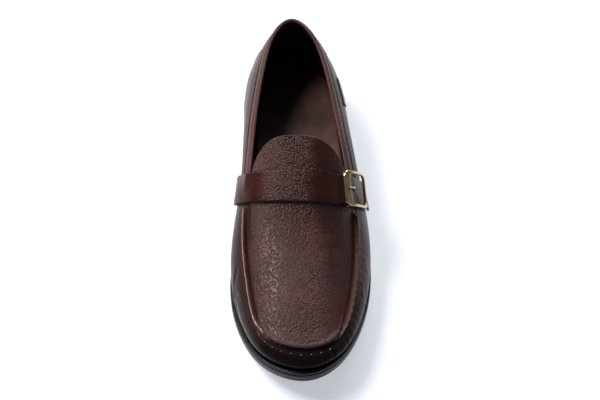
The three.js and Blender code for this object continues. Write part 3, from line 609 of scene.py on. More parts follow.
def thread_finish(name, dark, bright):
    """Waxed thread: two tones twisted along its length by a fine noise."""
    s = Shader(name)
    twist = s.noise(2500.0, 1.0).outputs["Fac"]
    s.relief(twist, 0.00012)
    s.set(base_color=s.blend(s.span(twist, 0.4, 0.6), dark, bright), roughness=s.span(twist, 0, 1, 0.4, 0.6))
    return s.material


lining_leather = lining_finish("lining_leather")
brown_thread = thread_finish("brown_thread", rgb(0.03, 0.014, 0.011), rgb(0.07, 0.035, 0.026))
# Painted glint: the toe stitches' thread is pale so that it shows the light caught in the stitch holes.
glint_thread = thread_finish("glint_thread", rgb(0.16, 0.13, 0.11), rgb(0.32, 0.27, 0.24))
print("lining and threads ready")

# %% [markdown]
# ## Rubber and brass
# Moulded rubber is nearly black with a soft sheen and a faint mould texture. The buckle is
# brass: its broad bar is brushed along its length and has aged darker, and its bevels are
# polished bright. The buckle's mesh carries its own coordinates, so the brushing follows it.

# %% Rubber and brass


def moulded_rubber(name):
    """Black rubber: fine mould grain, faint scuffs in the roughness."""
    s = Shader(name)
    grain = s.noise(1500.0, 3.0).outputs["Fac"]
    scuffs = s.noise(70.0, 4.0, 0.65).outputs["Fac"]
    s.relief(grain, 0.00006)
    colour = s.blend(s.span(scuffs, 0.35, 0.7), rgb(0.0045, 0.0045, 0.006), rgb(0.011, 0.011, 0.0135))
    s.set(base_color=colour, roughness=s.span(scuffs, 0.3, 0.75, 0.2, 0.36),
          specular_ior_level=0.2)
    return s.material


def aged_brass(name):
    """Brass, metallic: streaks of noise drawn out along the bar, darker where it has aged."""
    s = Shader(name)
    own = s.note("own").outputs["Vector"]
    stretch = s.node("ShaderNodeMapping")
    s.feed(stretch.inputs["Vector"], own)
    stretch.inputs["Scale"].default_value = (6.0, 0.35, 2.0)
    streaks = s.noise(1.6, 4.0, 0.7, stretch.outputs[0]).outputs["Fac"]
    patina = s.noise(320.0, 3.0, 0.6).outputs["Fac"]
    bright = s.note("bright").outputs["Fac"]
    s.relief(s.maths("MULTIPLY", streaks, s.maths("SUBTRACT", 1.0, bright)), 0.00009)
    aged = s.blend(s.span(patina, 0.35, 0.65), rgb(0.045, 0.031, 0.017), rgb(0.11, 0.077, 0.038))
    aged = s.blend(s.span(streaks, 0.4, 0.62), aged, rgb(0.18, 0.131, 0.062))
    colour = s.blend(bright, aged, rgb(0.5, 0.39, 0.21))
    s.set(base_color=colour, metallic=1.0, roughness=s.span(bright, 0.0, 1.0, 0.4, 0.17))
    return s.material


black_rubber = moulded_rubber("black_rubber")
brass = aged_brass("aged_brass")
print("rubber and brass ready")

# %% [markdown]
# ## Outsole
# The real sole is one moulding with a stepped side: a bead at the top, a broad band, two fine
# grooves and a rounded lower edge. Its rim stands 7 mm out from the upper, with a groove beside
# the leather. It could be carved from a block, but a moulding is better made as a profile
# carried round the outline. Underneath, ribs cut in waves give the tread, and their tops lie on
# the floor.

# %% The sole's moulded edge
edge_profile = np.array([
    (0.0, 1.45), (0.03, 0.8), (0.09, 0.42), (0.2, 0.27), (0.335, 0.2), (0.35, 0.28), (0.36, 0.62),
    (0.385, 0.62), (0.395, 0.2), (0.41, 0.05), (0.5, 0.0), (0.66, 0.0), (0.69, 0.08), (0.7, 0.6),
    (0.75, 0.62), (0.765, 0.2), (0.79, 0.02), (0.85, -0.06), (0.92, 0.0), (0.97, 0.2), (1.0, 0.62),
    (1.005, 1.0),
])


def cut_corners(line, times=2):
    """Rounds a line by cutting its corners: each pair gives points at 1/4 and 3/4, repeated."""
    for _ in range(times):
        near = mix(line[:-1], line[1:], 0.25)
        far = mix(line[:-1], line[1:], 0.75)
        between = np.stack([near, far], 1).reshape(-1, line.shape[1])
        line = np.concatenate([line[:1], between, line[-1:]])
    return line


edge_rows = cut_corners(edge_profile)
sole_places = np.linspace(0, ring_span, 481)[:-1]
up_share = edge_rows[:, :1] * np.ones_like(sole_places)
back = edge_rows[:, 1:] * edge_depth * np.ones_like(sole_places)
sole_u = np.broadcast_to(sole_places, up_share.shape)
edge_flat = ring_point(sole_u, back)
low_line, high_line = floor_line(edge_flat[..., 0]), sole_top(edge_flat[..., 0])
under_line = sole_bottom(edge_flat[..., 0])
order = np.linspace(0, 0.1, len(edge_rows))[:, None]
edge_up = np.maximum(mix(low_line, high_line, up_share), mix(under_line, high_line, order))
edge_grid = stack(edge_flat[..., 0], edge_flat[..., 1], edge_up)
print("rows up the sole's edge:", len(edge_rows))

# %% The rim beside the upper, the tread, and the whole sole
rim_back = np.array([3.2, 3.7, 4.4, 5.0, 5.4, 5.9, 6.6, 8.5])
rim_drop = np.array([0.05, 0.1, 0.1, 0.45, 0.95, 1.0, 1.0, 1.0])
rim_scale = inset_at(sole_places) / feather_inset
rim_u = np.broadcast_to(sole_places, (len(rim_back), len(sole_places)))
rim_flat = ring_point(rim_u, rim_back[:, None] * mix(1.0, rim_scale, ease(4, 6, rim_back)[:, None]))
rim_grid = stack(rim_flat[..., 0], rim_flat[..., 1], sole_top(rim_flat[..., 0]) - rim_drop[:, None])


def ladder(ring, across=48):
    """A closed ring filled by rungs: place i on one side is joined to its partner n - i."""
    count = len(ring) // 2
    inner = ring[: count + 1]
    outer = ring[(-np.arange(count + 1)) % len(ring)]
    t = np.linspace(0, 1, across + 1)
    return mix(inner[None], outer[None], t[:, None, None])


def tread(flat):
    """Waved ribs across the sole: a groove wherever a wave along the shoe is low, with a plain
    border round the edge and over the arch."""
    along, across = flat[..., 0], flat[..., 1]
    wave = np.cos(2 * np.pi * (along + 5.5 * np.cos(across / 13)) / 9.5)
    grooves = ease(0.35, 0.75, -wave)
    keep_heel = ease(9, 12, along) * (1 - ease(heel_block - 11, heel_block - 8, along))
    keep_fore = ease(arch_end + 6, arch_end + 10, along) * (1 - ease(278, 284, along))
    t = np.abs(np.linspace(-1, 1, flat.shape[0]))[:, None]
    border = 1 - ease(0.8, 0.86, t)
    return 1.3 * grooves * np.maximum(keep_heel, keep_fore) * border


bottom = ladder(edge_grid[0], 96)
bottom_up = sole_bottom(bottom[..., 0]) + tread(bottom)
border_share = ease(0.96, 1.0, np.abs(np.linspace(-1, 1, 97)))[:, None]
bottom[..., 2] = mix(bottom_up, bottom[..., 2], border_share)
cover = ladder(rim_grid[-1], 12)
body = np.concatenate([edge_grid, rim_grid])
sole_parts = [
    (body, lattice(*body.shape[:2], close_cols=True)),
    (cover, lattice(*cover.shape[:2])[:, ::-1]),
    (bottom, lattice(*bottom.shape[:2])),
]
sole_points, sole_faces = join(sole_parts)
add_piece("outsole_moulding", sole_points, sole_faces, black_rubber, ["outsole"])

# %% [markdown]
# ## The wall of the upper
# The quarters and the vamp's side are one wall of leather, about 1.3 mm thick, with a lining
# inside. Its section changes round the shoe. At the collar the leather rolls over a padded
# edge, and a band 13.5 mm deep ends in a step. In front the top edge is turned up into a lip
# beside the moccasin seam and gathered against it. Both sections are written as lines of
# (drop below the top line, depth into the shoe), and one eases into the other under the strap.

# %% Section lines of the wall
leather_thickness = 1.3
around = 816
wall_places = np.arange(around) * ring_span / around
from_heel = np.minimum(wall_places, ring_span - wall_places)
heights = wall_height(wall_places)
front = ease(throat - 0.9, throat - 0.3, from_heel)
zone = 15.5
zone_here = np.minimum(zone, 0.72 * heights)

band_line = smooth_table([
    (3.0, -0.42), (4.2, -0.38), (4.8, 0.0), (5.3, -0.35), (6.0, -0.55), (8.0, -0.65), (12.4, -0.65),
    (13.0, -0.6), (13.4, -0.3), (13.6, 0.05), (14.2, 0.1), (15.0, 0.0),
])
lip_line = smooth_table([
    (0.0, 0.9), (0.45, 0.65), (0.85, 0.15), (1.2, -0.08), (1.7, -0.12), (2.4, -0.06), (3.2, 0.03),
    (4.0, 0.02), (6.0, 0.0),
])
roll_radius = 1.75
roll_angles = np.linspace(-0.35 * np.pi, 1.12 * np.pi, 17)

upper_rows = 44
zone_share = 1 - np.linspace(0, 1, upper_rows) ** 0.85
drop_front = np.concatenate([zone_share * zone, np.full(len(roll_angles), 0.0)])
drop_band = np.concatenate([
    mix(3.0, zone, zone_share), roll_radius * (1 - np.sin(roll_angles)),
])
depth_roll = roll_radius * (0.62 - np.cos(roll_angles))
scale = zone_here / zone
front_depth_end = np.linspace(0.75, leather_thickness, len(roll_angles))

rows_low = 40
low_share = np.linspace(0, 1, rows_low + 1)[:-1, None]
low_drop = mix(heights[None], zone_here[None], low_share)
band_depth = np.concatenate([band_line(drop_band[:upper_rows]), depth_roll])
lip_depth = np.concatenate([lip_line(drop_front[:upper_rows] ), front_depth_end])
print("rows up the wall:", rows_low + upper_rows + len(roll_angles))

# %% [markdown]
# ## Gathers, pleats and creases
# A moccasin's wall is longer than the edge that it is sewn to, so it is gathered: one small
# pleat at every stitch, strongest round the toe and on the outer side. The stitches lie 6.7 mm
# apart. Creases are placed, in the shoe's own sizes, where the photo shows the leather
# folded: each is a soft trough with a low ridge beside it.

# %% Gathers and creases as fields
stitch_pitch = 6.7
seam_ring = top_line(fine_ring)
seam_run = np.concatenate([[0], np.cumsum(np.linalg.norm(np.diff(seam_ring, axis=0), axis=1))])
run_of = lambda u: np.interp(u, fine_ring, seam_run)
gather_strength = smooth_table([
    (6.8, 0.0), (7.4, 0.1), (8.6, 0.12), (9.8, 0.15), (10.8, 0.22), (11.9, 0.4), (12.6, 0.75), (13.2, 0.85),
    (14.2, 0.5), (15.4, 0.55), (16.4, 0.4), (17.0, 0.0),
])
pleat_random = np.random.default_rng(7).uniform(0.55, 1.25, 200)


def gathers(u, drop):
    """Pleats across the seam: a rounded wave of the stitch pitch, as strong as the table says,
    fading out 13 mm below the seam, each pleat with a size of its own."""
    run = run_of(u)
    own = pleat_random[np.floor(run / stitch_pitch).astype(int) % 200]
    wave = np.abs(np.sin(np.pi * run / stitch_pitch)) ** 0.8 - 0.6
    reach = ease(-0.2, 1.6, drop) * (1 - ease(3.5, 13.0, drop)) ** 1.4
    return 0.5 * own * wave * reach * gather_strength(np.clip(u, 6.8, 17.0))


# From and to as (station, share of the wall's height), then width and depth in millimetres.
wall_creases = [
    ((8.4, 0.8), (9.2, 0.42), 1.7, 0.36),
    ((9.3, 0.78), (8.85, 0.5), 1.3, 0.3),
    ((8.95, 0.62), (9.8, 0.34), 1.8, 0.3),
    ((15.2, 0.78), (14.7, 0.34), 1.5, 0.3),
    ((15.9, 0.74), (15.4, 0.26), 1.9, 0.26),
    ((5.2, 0.5), (6.2, 0.22), 4.0, 0.5),
    ((18.6, 0.52), (17.8, 0.2), 4.0, 0.45),
    ((3.6, 0.35), (4.9, 0.2), 5.0, 0.4),
]


def creases(u, v, table=wall_creases):
    """Troughs along short lines: depth * exp(-(d / width)^2) - half of it beside, d the
    distance from the line in millimetres of girth and height, fading at the line's ends."""
    girth = np.interp(u, fine_ring, seam_run) * 1.12
    up = v * wall_height(u)
    total = np.zeros(np.shape(u))
    for (u0, v0), (u1, v1), width, depth in table:
        start = np.array([np.interp(u0, fine_ring, seam_run) * 1.12, v0 * float(wall_height(np.array(u0)))])
        end = np.array([np.interp(u1, fine_ring, seam_run) * 1.12, v1 * float(wall_height(np.array(u1)))])
        line = end - start
        t = ((girth - start[0]) * line[0] + (up - start[1]) * line[1]) / (line @ line)
        bend = 0.8 * np.sin(3.1 * t * np.pi)
        far = ((girth - start[0]) * line[1] - (up - start[1]) * line[0]) / np.linalg.norm(line) + bend
        ends = ease(-0.12, 0.25, t) * (1 - ease(0.75, 1.12, t))
        total -= depth * ends * (bump(far, 0, width) - 0.55 * bump(far, 1.9 * width, 1.3 * width))
    return total


print("seam length:", round(float(seam_run[-1])), "mm; creases:", len(wall_creases))

# %% The wall's outer and inner face
u_grid = np.broadcast_to(wall_places, (rows_low + upper_rows + len(roll_angles), around))
drop_f = np.concatenate([low_drop, drop_front[:, None] * scale])
drop_c = np.concatenate([low_drop, drop_band[:, None] * np.ones(around)])
drop = mix(drop_c, drop_f, front)
depth_low = np.zeros((rows_low, around))
depth_f = np.concatenate([depth_low, lip_depth[:, None] * np.ones(around)])
depth_c = np.concatenate([depth_low, band_depth[:, None] * np.ones(around)])
depth = mix(depth_c, depth_f, front)
v_grid = np.clip(1 - drop / heights, 0, 1)
drop_mm = drop.copy()


def upright(u, v, drop_here):
    """The wall's normal, turned level near the top line so that the roll stands upright."""
    level = 1 - ease(1.0, 7.0, drop_here)
    return unit(mix(wall_normal(u, v), outline_normal(u), level[..., None]))


wall_out = upright(u_grid, v_grid, drop_mm)
swell_field = gathers(u_grid, drop_mm) * front + creases(u_grid, v_grid)
outer = wall(u_grid, v_grid) + wall_out * (swell_field - depth)[..., None]

inner_drop = np.array([3.6, 5.0, 6.4, 6.8, 9.0])
inner_depth = np.array([2.05, 2.0, 1.95, leather_thickness, leather_thickness])
low_inner = np.linspace(0, 1, 14)[1:, None]
inner_drop_c = np.concatenate([inner_drop[:, None] * scale, mix((9.0 * scale)[None], heights[None], low_inner)])
inner_drop_f = np.concatenate([
    np.linspace(0.8, 9.0, 5)[:, None] * scale, mix((9.0 * scale)[None], heights[None], low_inner),
])
inner_depths = np.concatenate([inner_depth, np.full(13, leather_thickness)])[:, None]
inner_drop_here = mix(inner_drop_c, inner_drop_f, front)
inner_v = np.clip(1 - inner_drop_here / heights, 0, 1)
inner_u = np.broadcast_to(wall_places, inner_v.shape)
inner_depth_here = mix(inner_depths, np.full_like(inner_depths, leather_thickness), front)
inner_out = upright(inner_u, inner_v, inner_drop_here)
inner_face = wall(inner_u, inner_v) - inner_out * inner_depth_here[..., None]
wall_grid = np.concatenate([outer, inner_face])

# Share of the toe: it polishes the wall and sets the painted shade there.
toe_polish_and_shade = ease(9.2, 11.2, u_grid) * (1 - ease(13.4, 15.2, u_grid))
# Groove note on the wall, along the seam's groove and the collar band's steps: dirt and wax darkening, with painted
# shade.
groove_wall = front * (ease(-0.25, 0.5, depth) * (drop_mm < 6)) + (1 - front) * (
    bump(drop_c, 13.8, 0.5) + 0.9 * bump(drop_c, 4.9, 0.45)) * (drop_c > 3.05)
# Painted shade on the front of the wall: full at the toe, 0.45 along the inner side.
painted_shade_wall = front * np.maximum(toe_polish_and_shade, 0.45 * (1 - ease(12.0, 13.0, u_grid)))
rolled = (1 - front) * np.maximum(
    np.arange(len(drop))[:, None] >= rows_low + upper_rows, 1 - ease(4.2, 4.8, drop_c))
plain_share = mix(0.8, 0.4, ease(14.2, 15.6, u_grid))
polish_wall = front * np.maximum(plain_share, toe_polish_and_shade) + 0.85 * (1 - front)
wall_notes = {
    "polish": np.concatenate([np.maximum(polish_wall, rolled * 0.9), np.ones_like(inner_v)]),
    "groove": np.concatenate([np.clip(groove_wall, 0, 1), np.zeros_like(inner_v)]),
    # Ridge note: a painted highlight on the collar's roll and on a thin line along the lip below the seam; it also
    # raises their shine.
    "ridge": np.concatenate([rolled * 0.3 + 0.3 * front * bump(drop_mm, 1.1, 0.35), np.zeros_like(inner_v)]),
    "painted_shade": np.concatenate([painted_shade_wall, np.zeros_like(inner_v)]),
}
add_piece(
    "wall_leather", wall_grid,
    lattice(*wall_grid.shape[:2], close_rows=True, close_cols=True),
    pebbled, ["upper"], wall_notes,
)

# %% [markdown]
# ## The apron
# The apron is the plug of leather on top of the moccasin. Near its seam it dips, then turns up
# into a narrow ridge, which catches the light and carries a painted highlight along its crest.
# Its grid has rows parallel to the seam and columns that run from the seam to a spine down the
# middle, and fan out round the spine's end.

# %% Rows of the apron
spine_end = seam_tip - 0.13 * shoe_length
apron_u = np.linspace(throat, ring_span - throat, 673)
apron_seam = top_line(apron_u)
spine_along = np.minimum(apron_seam[:, 0], spine_end)
(spine_in, _), (spine_out, _) = seam_pair(spine_along)
spine = np.stack([spine_along, (spine_in + spine_out) / 2], -1)
reach = np.linalg.norm(spine - apron_seam[:, :2], axis=1)
near_rows = np.concatenate([np.linspace(0, 5, 27), np.linspace(5, 13, 14)[1:]])
far_rows = np.linspace(0, 1, 26)[1:, None]
distance = np.concatenate([near_rows[:, None] * np.ones_like(reach), mix(13.0, reach[None], far_rows)])
side_profile = smooth_table([
    (0.0, -0.9), (0.25, -0.5), (0.5, 0.7), (0.8, 1.5), (1.15, 1.7), (1.5, 1.4), (1.9, 0.4),
    (2.4, -0.3), (3.3, -0.65), (4.8, -0.65), (7.0, -0.4), (10.0, -0.1), (13.0, 0.0),
])
toe_profile = smooth_table([
    (0.0, -1.5), (1.0, -1.6), (1.7, -1.3), (2.2, 0.1), (2.7, 1.5), (3.3, 2.0), (4.0, 1.75),
    (5.2, 1.1), (8.0, 0.6), (13.0, 0.0),
])
ridge_start, ridge_end = 2.5, 6.5
strap_width, strap_centre, strap_lean_in, strap_lean_out, lean_blend = 24.5, 174, 0.76, 0.46, 30
strap_crest = float(instep(np.array(float(strap_centre)), np.array(0.0))[2])


def strap_plane(offset, across, up):
    """Where the strap's slanting plane, moved by an offset towards the toe, has a height."""
    lean = mix(strap_lean_in, strap_lean_out, ease(-lean_blend, lean_blend, across))
    return strap_centre + offset * np.hypot(1, strap_lean_out) - lean * (strap_crest - up)


ahead = apron_seam[:, 0] - strap_plane(strap_width / 2, apron_seam[:, 1], apron_seam[:, 2])
ridge_fade = ease(ridge_start, ridge_end, ahead)
t_row = (distance / reach)[..., None]
plan = mix(apron_seam[None, :, :2], spine[None], t_row)
apron_base = instep(plan[..., 0], plan[..., 1])
apron_out = instep_normal(plan[..., 0], plan[..., 1])
apron_run = np.broadcast_to(run_of(apron_u), distance.shape)
toe_share = 1 - ease(0.6, 2.1, np.abs(apron_u - toe))
outer_toe = ease(12.2, 13.2, apron_u) * (1 - ease(14.6, 15.4, apron_u))
outer_side = ease(12.4, 13.2, apron_u) * (1 - ease(16.0, 16.8, apron_u))
pucker_wave = np.cos(2 * np.pi * apron_run / stitch_pitch)
pucker_size = 0.08 + 0.16 * toe_share + 0.28 * outer_toe
pucker = pucker_size * pucker_wave * bump(distance, mix(0.9, 2.4, toe_share), 1.0)
settle = 0.35 * np.sin(plan[..., 0] / 21 + plan[..., 1] / 33) * ease(6, 20, distance)
ridge_height = mix(side_profile(distance), toe_profile(distance), toe_share)
apron_lift = (ridge_height + pucker) * ridge_fade + 0.4 * settle
lean_out = 1.5 * bump(distance, 1.1, 0.8) * (1 - toe_share) * ridge_fade
apron_top = apron_base + apron_out * apron_lift[..., None]
apron_top = apron_top + outline_normal(apron_u) * lean_out[..., None]
apron_under = apron_base - apron_out * (leather_thickness + 0.9 * bump(distance, 0, 1.2))[..., None]
rows, cols = distance.shape
top_faces = lattice(rows, cols)
rim_top = np.concatenate([apron_top[::-1, 0], apron_top[0], apron_top[:, -1]])
rim_under = np.concatenate([apron_under[::-1, 0], apron_under[0], apron_under[:, -1]])
apron_points, apron_faces = join([
    (apron_top, top_faces),
    (apron_under, top_faces[:, ::-1]),
    (np.stack([rim_under, rim_top]), lattice(2, len(rim_top))),
])
pad = np.zeros(2 * len(rim_top))
flat_notes = lambda values: np.concatenate([values.ravel(), values.ravel() * 0, pad])
crest = mix(1.1, 3.2, toe_share)
apron_notes = {
    "polish": flat_notes(np.maximum(
        np.maximum(0.7 * bump(distance, crest, 0.8) * (1 - 0.6 * outer_side), 0.95 * bump(distance, 2.5, 1.3) * (1 - toe_share)),
        0.55 * ease(2, 30, plan[..., 1]) * ease(3, 6, distance))),
    # The groove note darkens the gap beside the ridge and the valley inside it: painted shade, with dirt and wax in
    # the gap.
    "groove": flat_notes(np.clip(ease(-0.3, 0.55, -apron_lift) * (distance < crest) + 0.5
                                 * bump(distance, 3.3, 1.2) * (1 - toe_share), 0, 1) * ridge_fade),
    # The ridge note paints a highlight along the ridge's crest, and also raises its shine.
    "ridge": flat_notes(1.3 * bump(distance, crest - 0.1, 0.34) * ridge_fade * (1 - 0.85 * outer_side)
                          * mix(1, 0.45, toe_share)),
}
add_piece("apron_leather", apron_points, apron_faces, pebbled, ["upper"], apron_notes)

# %% [markdown]
# ## Lining and insole
# Inside, thin brown leather lines the quarters and black cloth the heel. The insole lies on the
# sole, with a turned edge.

# %% The lining
lining_places = np.arange(320) * ring_span / 320
lining_heights = wall_height(lining_places)
lining_front = ease(throat - 0.9, throat - 0.3, np.minimum(lining_places, ring_span - lining_places))
lining_scale = np.minimum(zone, 0.72 * lining_heights) / zone
lining_top = mix(6.2, 2.2, lining_front) * lining_scale
fall = end_dense(26)[:, None]
lining_drop = mix(lining_top[None], (lining_heights - 0.4)[None], fall)
lining_v = np.clip(1 - lining_drop / lining_heights, 0, 1)
lining_u = np.broadcast_to(lining_places, lining_v.shape)
lining_out = wall_normal(lining_u, lining_v)
lining_wall = wall(lining_u, lining_v)
wrinkle = 0.25 * np.sin(lining_u * 9.0 + 3 * lining_v) * bump(lining_v, 0.35, 0.3)
shallow = lining_wall - lining_out * (leather_thickness + 0.1)
deep = lining_wall - lining_out * (wall_thickness + 0.15 * wrinkle)[..., None]
lining_grid = np.concatenate([shallow[::-1], deep])
heel_note = 1 - ease(82, 88, lining_wall[..., 0] + 0.25 * lining_wall[..., 2])
add_piece(
    "lining", lining_grid, lattice(*lining_grid.shape[:2], close_rows=True, close_cols=True),
    lining_leather, ["upper"],
    {"heel": np.concatenate([heel_note[::-1], heel_note])},
)

# %% The insole
station = toe * end_dense(90)
share = mix(0, 1, end_dense(40))[:, None]
sock_gap = inset_at(station) + wall_thickness + 2 * clearance
sock_in = ring_point(station, sock_gap)
sock_out = ring_point(ring_span - station, sock_gap)
sock = mix(sock_in[None], sock_out[None], share[..., None])
sock_half = np.linalg.norm(sock_out - sock_in, axis=-1) / 2
border = np.minimum(2 * np.minimum(share, 1 - share) * sock_half, 200)
ends = np.minimum(sock[..., 0] - sock[..., 0].min(), sock[..., 0].max() - sock[..., 0])
border = np.minimum(border, 2.2 * ends)
full = 1.5 * round_edge(border, 1.6)
dish = 1.1 * ease(2, 16, border) * bump(sock[..., 0], 45, 45)
sock_mid = stack(
    sock[..., 0], sock[..., 1], sole_top(sock[..., 0]) + clearance + 1.8 - 0 * dish,
)
flat_up = np.broadcast_to(np.array([0.0, 0.0, 1.0]), sock_mid.shape)
sock_points, sock_faces = slab(sock_mid, flat_up, full)
add_piece(
    "insole_leather", sock_points, sock_faces[:, ::-1], lining_leather, ["insole"],
    {"heel": np.zeros(len(sock_points))},
)

# %% [markdown]
# ## Tongue
# The tongue carries the instep's form on behind the throat and stands away from the leg. It is
# leather on both sides, 2.4 mm thick, with a rounded edge painted dark.

# %% The tongue's sheet
tongue_thickness, tongue_skew, shortest_tongue = 2.4, 0.05, 0.14
side_gap = wall_thickness + 5 * clearance
tongue_t = np.linspace(0, 1, 61)[:, None]
tongue_s = end_dense(110)[None]
off_centre = np.clip(2 * (tongue_s + tongue_skew * np.sin(np.pi * tongue_s)) - 1, -1, 1)
arch = mix(shortest_tongue, 1, (1 - np.abs(off_centre) ** 3.5) ** 0.46)
tongue_start = throat_along - clearance
tongue_along = tongue_start - (1 - (1 - tongue_t) ** 1.5) * arch * tongue_reach
tongue_across = mix(throat_in[0] + side_gap, throat_out[0] - side_gap, tongue_s) + 0 * tongue_t
tongue_skin = instep(tongue_along, tongue_across)
tongue_out = instep_normal(tongue_along, tongue_across)
rim_gap = np.minimum((tongue_along - tongue_along[-1:]), 99)
side = np.minimum(tongue_s, 1 - tongue_s) * (throat_out[0] - throat_in[0])
tongue_border = np.minimum(np.minimum(rim_gap * 0.9, side), (tongue_start - tongue_along) + 0.0)
tongue_full = tongue_thickness / 2 * round_edge(tongue_border, 1.0)
tongue_mid = tongue_skin - tongue_out * (tongue_thickness / 2)
tongue_points, tongue_faces = slab(tongue_mid, tongue_out, tongue_full)
painted = 1 - ease(0.5, 1.0, np.minimum(rim_gap, side))
add_piece(
    "tongue_leather", tongue_points, tongue_faces[:, ::-1], pebbled, ["tongue"],
    {"edge": np.tile(painted.ravel(), 2), "polish": np.tile(0.7 * ease(0, 26, tongue_across).ravel(), 2)},
)

# %% [markdown]
# ## Strap
# The strap is stiff and taut: it touches the high parts of the upper and bridges the hollows.
# In each slanting plane across the shoe that is the convex hull of the upper's section, as a
# string pulled tight would lie. Walking along that hull gives the strap's length, and a small
# loop of (share of the width, height) carried along it gives its body with rounded edges.

# %% The upper's section and the taut line over it
strap_gap, strap_thickness = 0.7, 2.0
tail_width, tail_shift, taper_start, taper_end = 21.5, 2.4, 12, 34
strap_turn, turn_length, strap_skew = 18, 8, 0.13
buckle_reach, tail_length, hole_spacing = 36, 36, 7.5
hinge_diameter = 2.0
hinge_lift = hinge_diameter + 2 * clearance


def strap_course(length):
    """Offset of the strap's middle line towards the toe, and half its width. It narrows on an
    ease, and past the turn x its middle line swings to the heel by skew x^2 / (x + length)."""
    taper = ease(taper_start, taper_end, length)
    past = np.maximum(0, length - strap_turn)
    centre = tail_shift * taper - strap_skew * past**2 / (past + turn_length)
    return centre, mix(strap_width, tail_width, taper) / 2


hinge_centre = float(strap_course(buckle_reach)[0])


def solve_rising(rising, low, high, steps=40):
    """Halves the interval again and again round the place where a rising function is zero."""
    for _ in range(steps):
        middle = (low + high) / 2
        above = rising(middle) > 0
        high = np.where(above, middle, high)
        low = np.where(above, low, middle)
    return (low + high) / 2


def upper_section(offset):
    """The upper cut by the strap's plane, from the inner feather over to the outer feather."""
    v = np.linspace(0, 1, 31)
    walls = []
    for side in (-1, 1):
        place = (lambda d: d) if side < 0 else (lambda d: ring_span - d)

        def miss(d):
            p = wall(place(d), v)
            return p[:, 0] - strap_plane(offset, p[:, 1], p[:, 2])

        d = solve_rising(miss, np.full(31, 4.5), np.full(31, 9.5))
        walls.append(wall(place(d), v))
    across = np.linspace(walls[0][-1, 1], walls[1][-1, 1], 82)[1:-1]
    miss_top = lambda a: a - strap_plane(offset, across, instep(a, across)[:, 2])
    along = solve_rising(miss_top, np.full(80, 0.4 * shoe_length), np.full(80, 0.8 * shoe_length))
    return np.concatenate([walls[0], instep(along, across), walls[1][::-1]])


def taut_over(section):
    """The convex hull of a section without its foot, walked from its first point to its last."""

    def chain(numbers):
        kept = []
        for n in numbers:
            while len(kept) > 1:
                (oy, oz), (ay, az) = section[kept[-2], 1:], section[kept[-1], 1:]
                if (ay - oy) * (section[n, 2] - oz) - (az - oz) * (section[n, 1] - oy) > 0:
                    break
                kept.pop()
            kept.append(n)
        return kept[:-1]

    rising = np.lexsort((section[:, 2], section[:, 1]))
    hull = (chain(rising) + chain(rising[::-1]))[::-1]
    start = hull.index(0)
    ordered = hull[start:] + hull[:start]
    return section[ordered[: ordered.index(len(section) - 1) + 1]]


class Walk:
    """Measures along a section, from the instep's middle: negative inwards, positive outwards."""

    def __init__(self, points):
        self.points = points
        steps = np.hypot(np.diff(points[:, 1]), np.diff(points[:, 2]))
        self.length = np.concatenate([[0], np.cumsum(steps)])
        cross = int(np.argmax(points[:, 1] > 0))
        self.middle = np.interp(0, points[cross - 1 : cross + 1, 1], self.length[cross - 1 : cross + 1])
        self.inner = self.middle
        self.outer = self.length[-1] - self.middle

    def point(self, length):
        place = np.clip(self.middle + np.asarray(length, float), 0, self.length[-1])
        return stack(*[np.interp(place, self.length, self.points[:, k]) for k in range(3)])

    def normal(self, length, reach=0.6):
        step = self.point(length + reach) - self.point(length - reach)
        return unit(stack(0 * step[..., 0], -step[..., 2], step[..., 1]))


def strap_line(offset):
    """The taut line at an offset from the strap's middle, lifted over the buckle's hinge bar,
    which lies square to the turned tail; with the bar's place and the normal there."""
    section = upper_section(offset)
    plain = Walk(taut_over(section))
    reach_here = buckle_reach + strap_skew * (offset - hinge_centre)
    hinge, normal = plain.point(reach_here), plain.normal(reach_here)
    raised = np.concatenate([section[:-1], (hinge + normal * hinge_lift)[None], section[-1:]])
    return Walk(taut_over(raised)), hinge, normal


tail_centre, tail_half = strap_course(buckle_reach + tail_length)
strap_offsets = np.linspace(strap_width / 2, tail_centre - tail_half, 17)
strap_walks = [strap_line(offset)[0] for offset in strap_offsets]
print("strap over the instep:", round(float(strap_walks[8].length[-1])), "mm of girth")

# %% The strap's body
foot_gap = strap_gap + strap_thickness + 2 * clearance
inner_end = min(walk.inner for walk in strap_walks) - foot_gap
outer_end = min(buckle_reach + tail_length, min(walk.outer for walk in strap_walks) - foot_gap)
strap_length = np.concatenate([
    inner_end * np.linspace(-1, 0, 121)[:-1], outer_end * np.linspace(0, 1, 221),
])
line_point = np.stack([walk.point(strap_length) for walk in strap_walks])
line_normal = np.stack([walk.normal(strap_length, 1.5) for walk in strap_walks])


def strap_at(values, column, offset):
    """Reads the strap's lines between each other, at an offset across the strap."""
    last = len(values) - 1
    place = last * (strap_offsets[0] - offset) / (strap_offsets[0] - strap_offsets[-1])
    low = np.clip(np.floor(place).astype(int), 0, last - 1)
    return mix(values[low, column], values[low + 1, column], (place - low)[..., None])


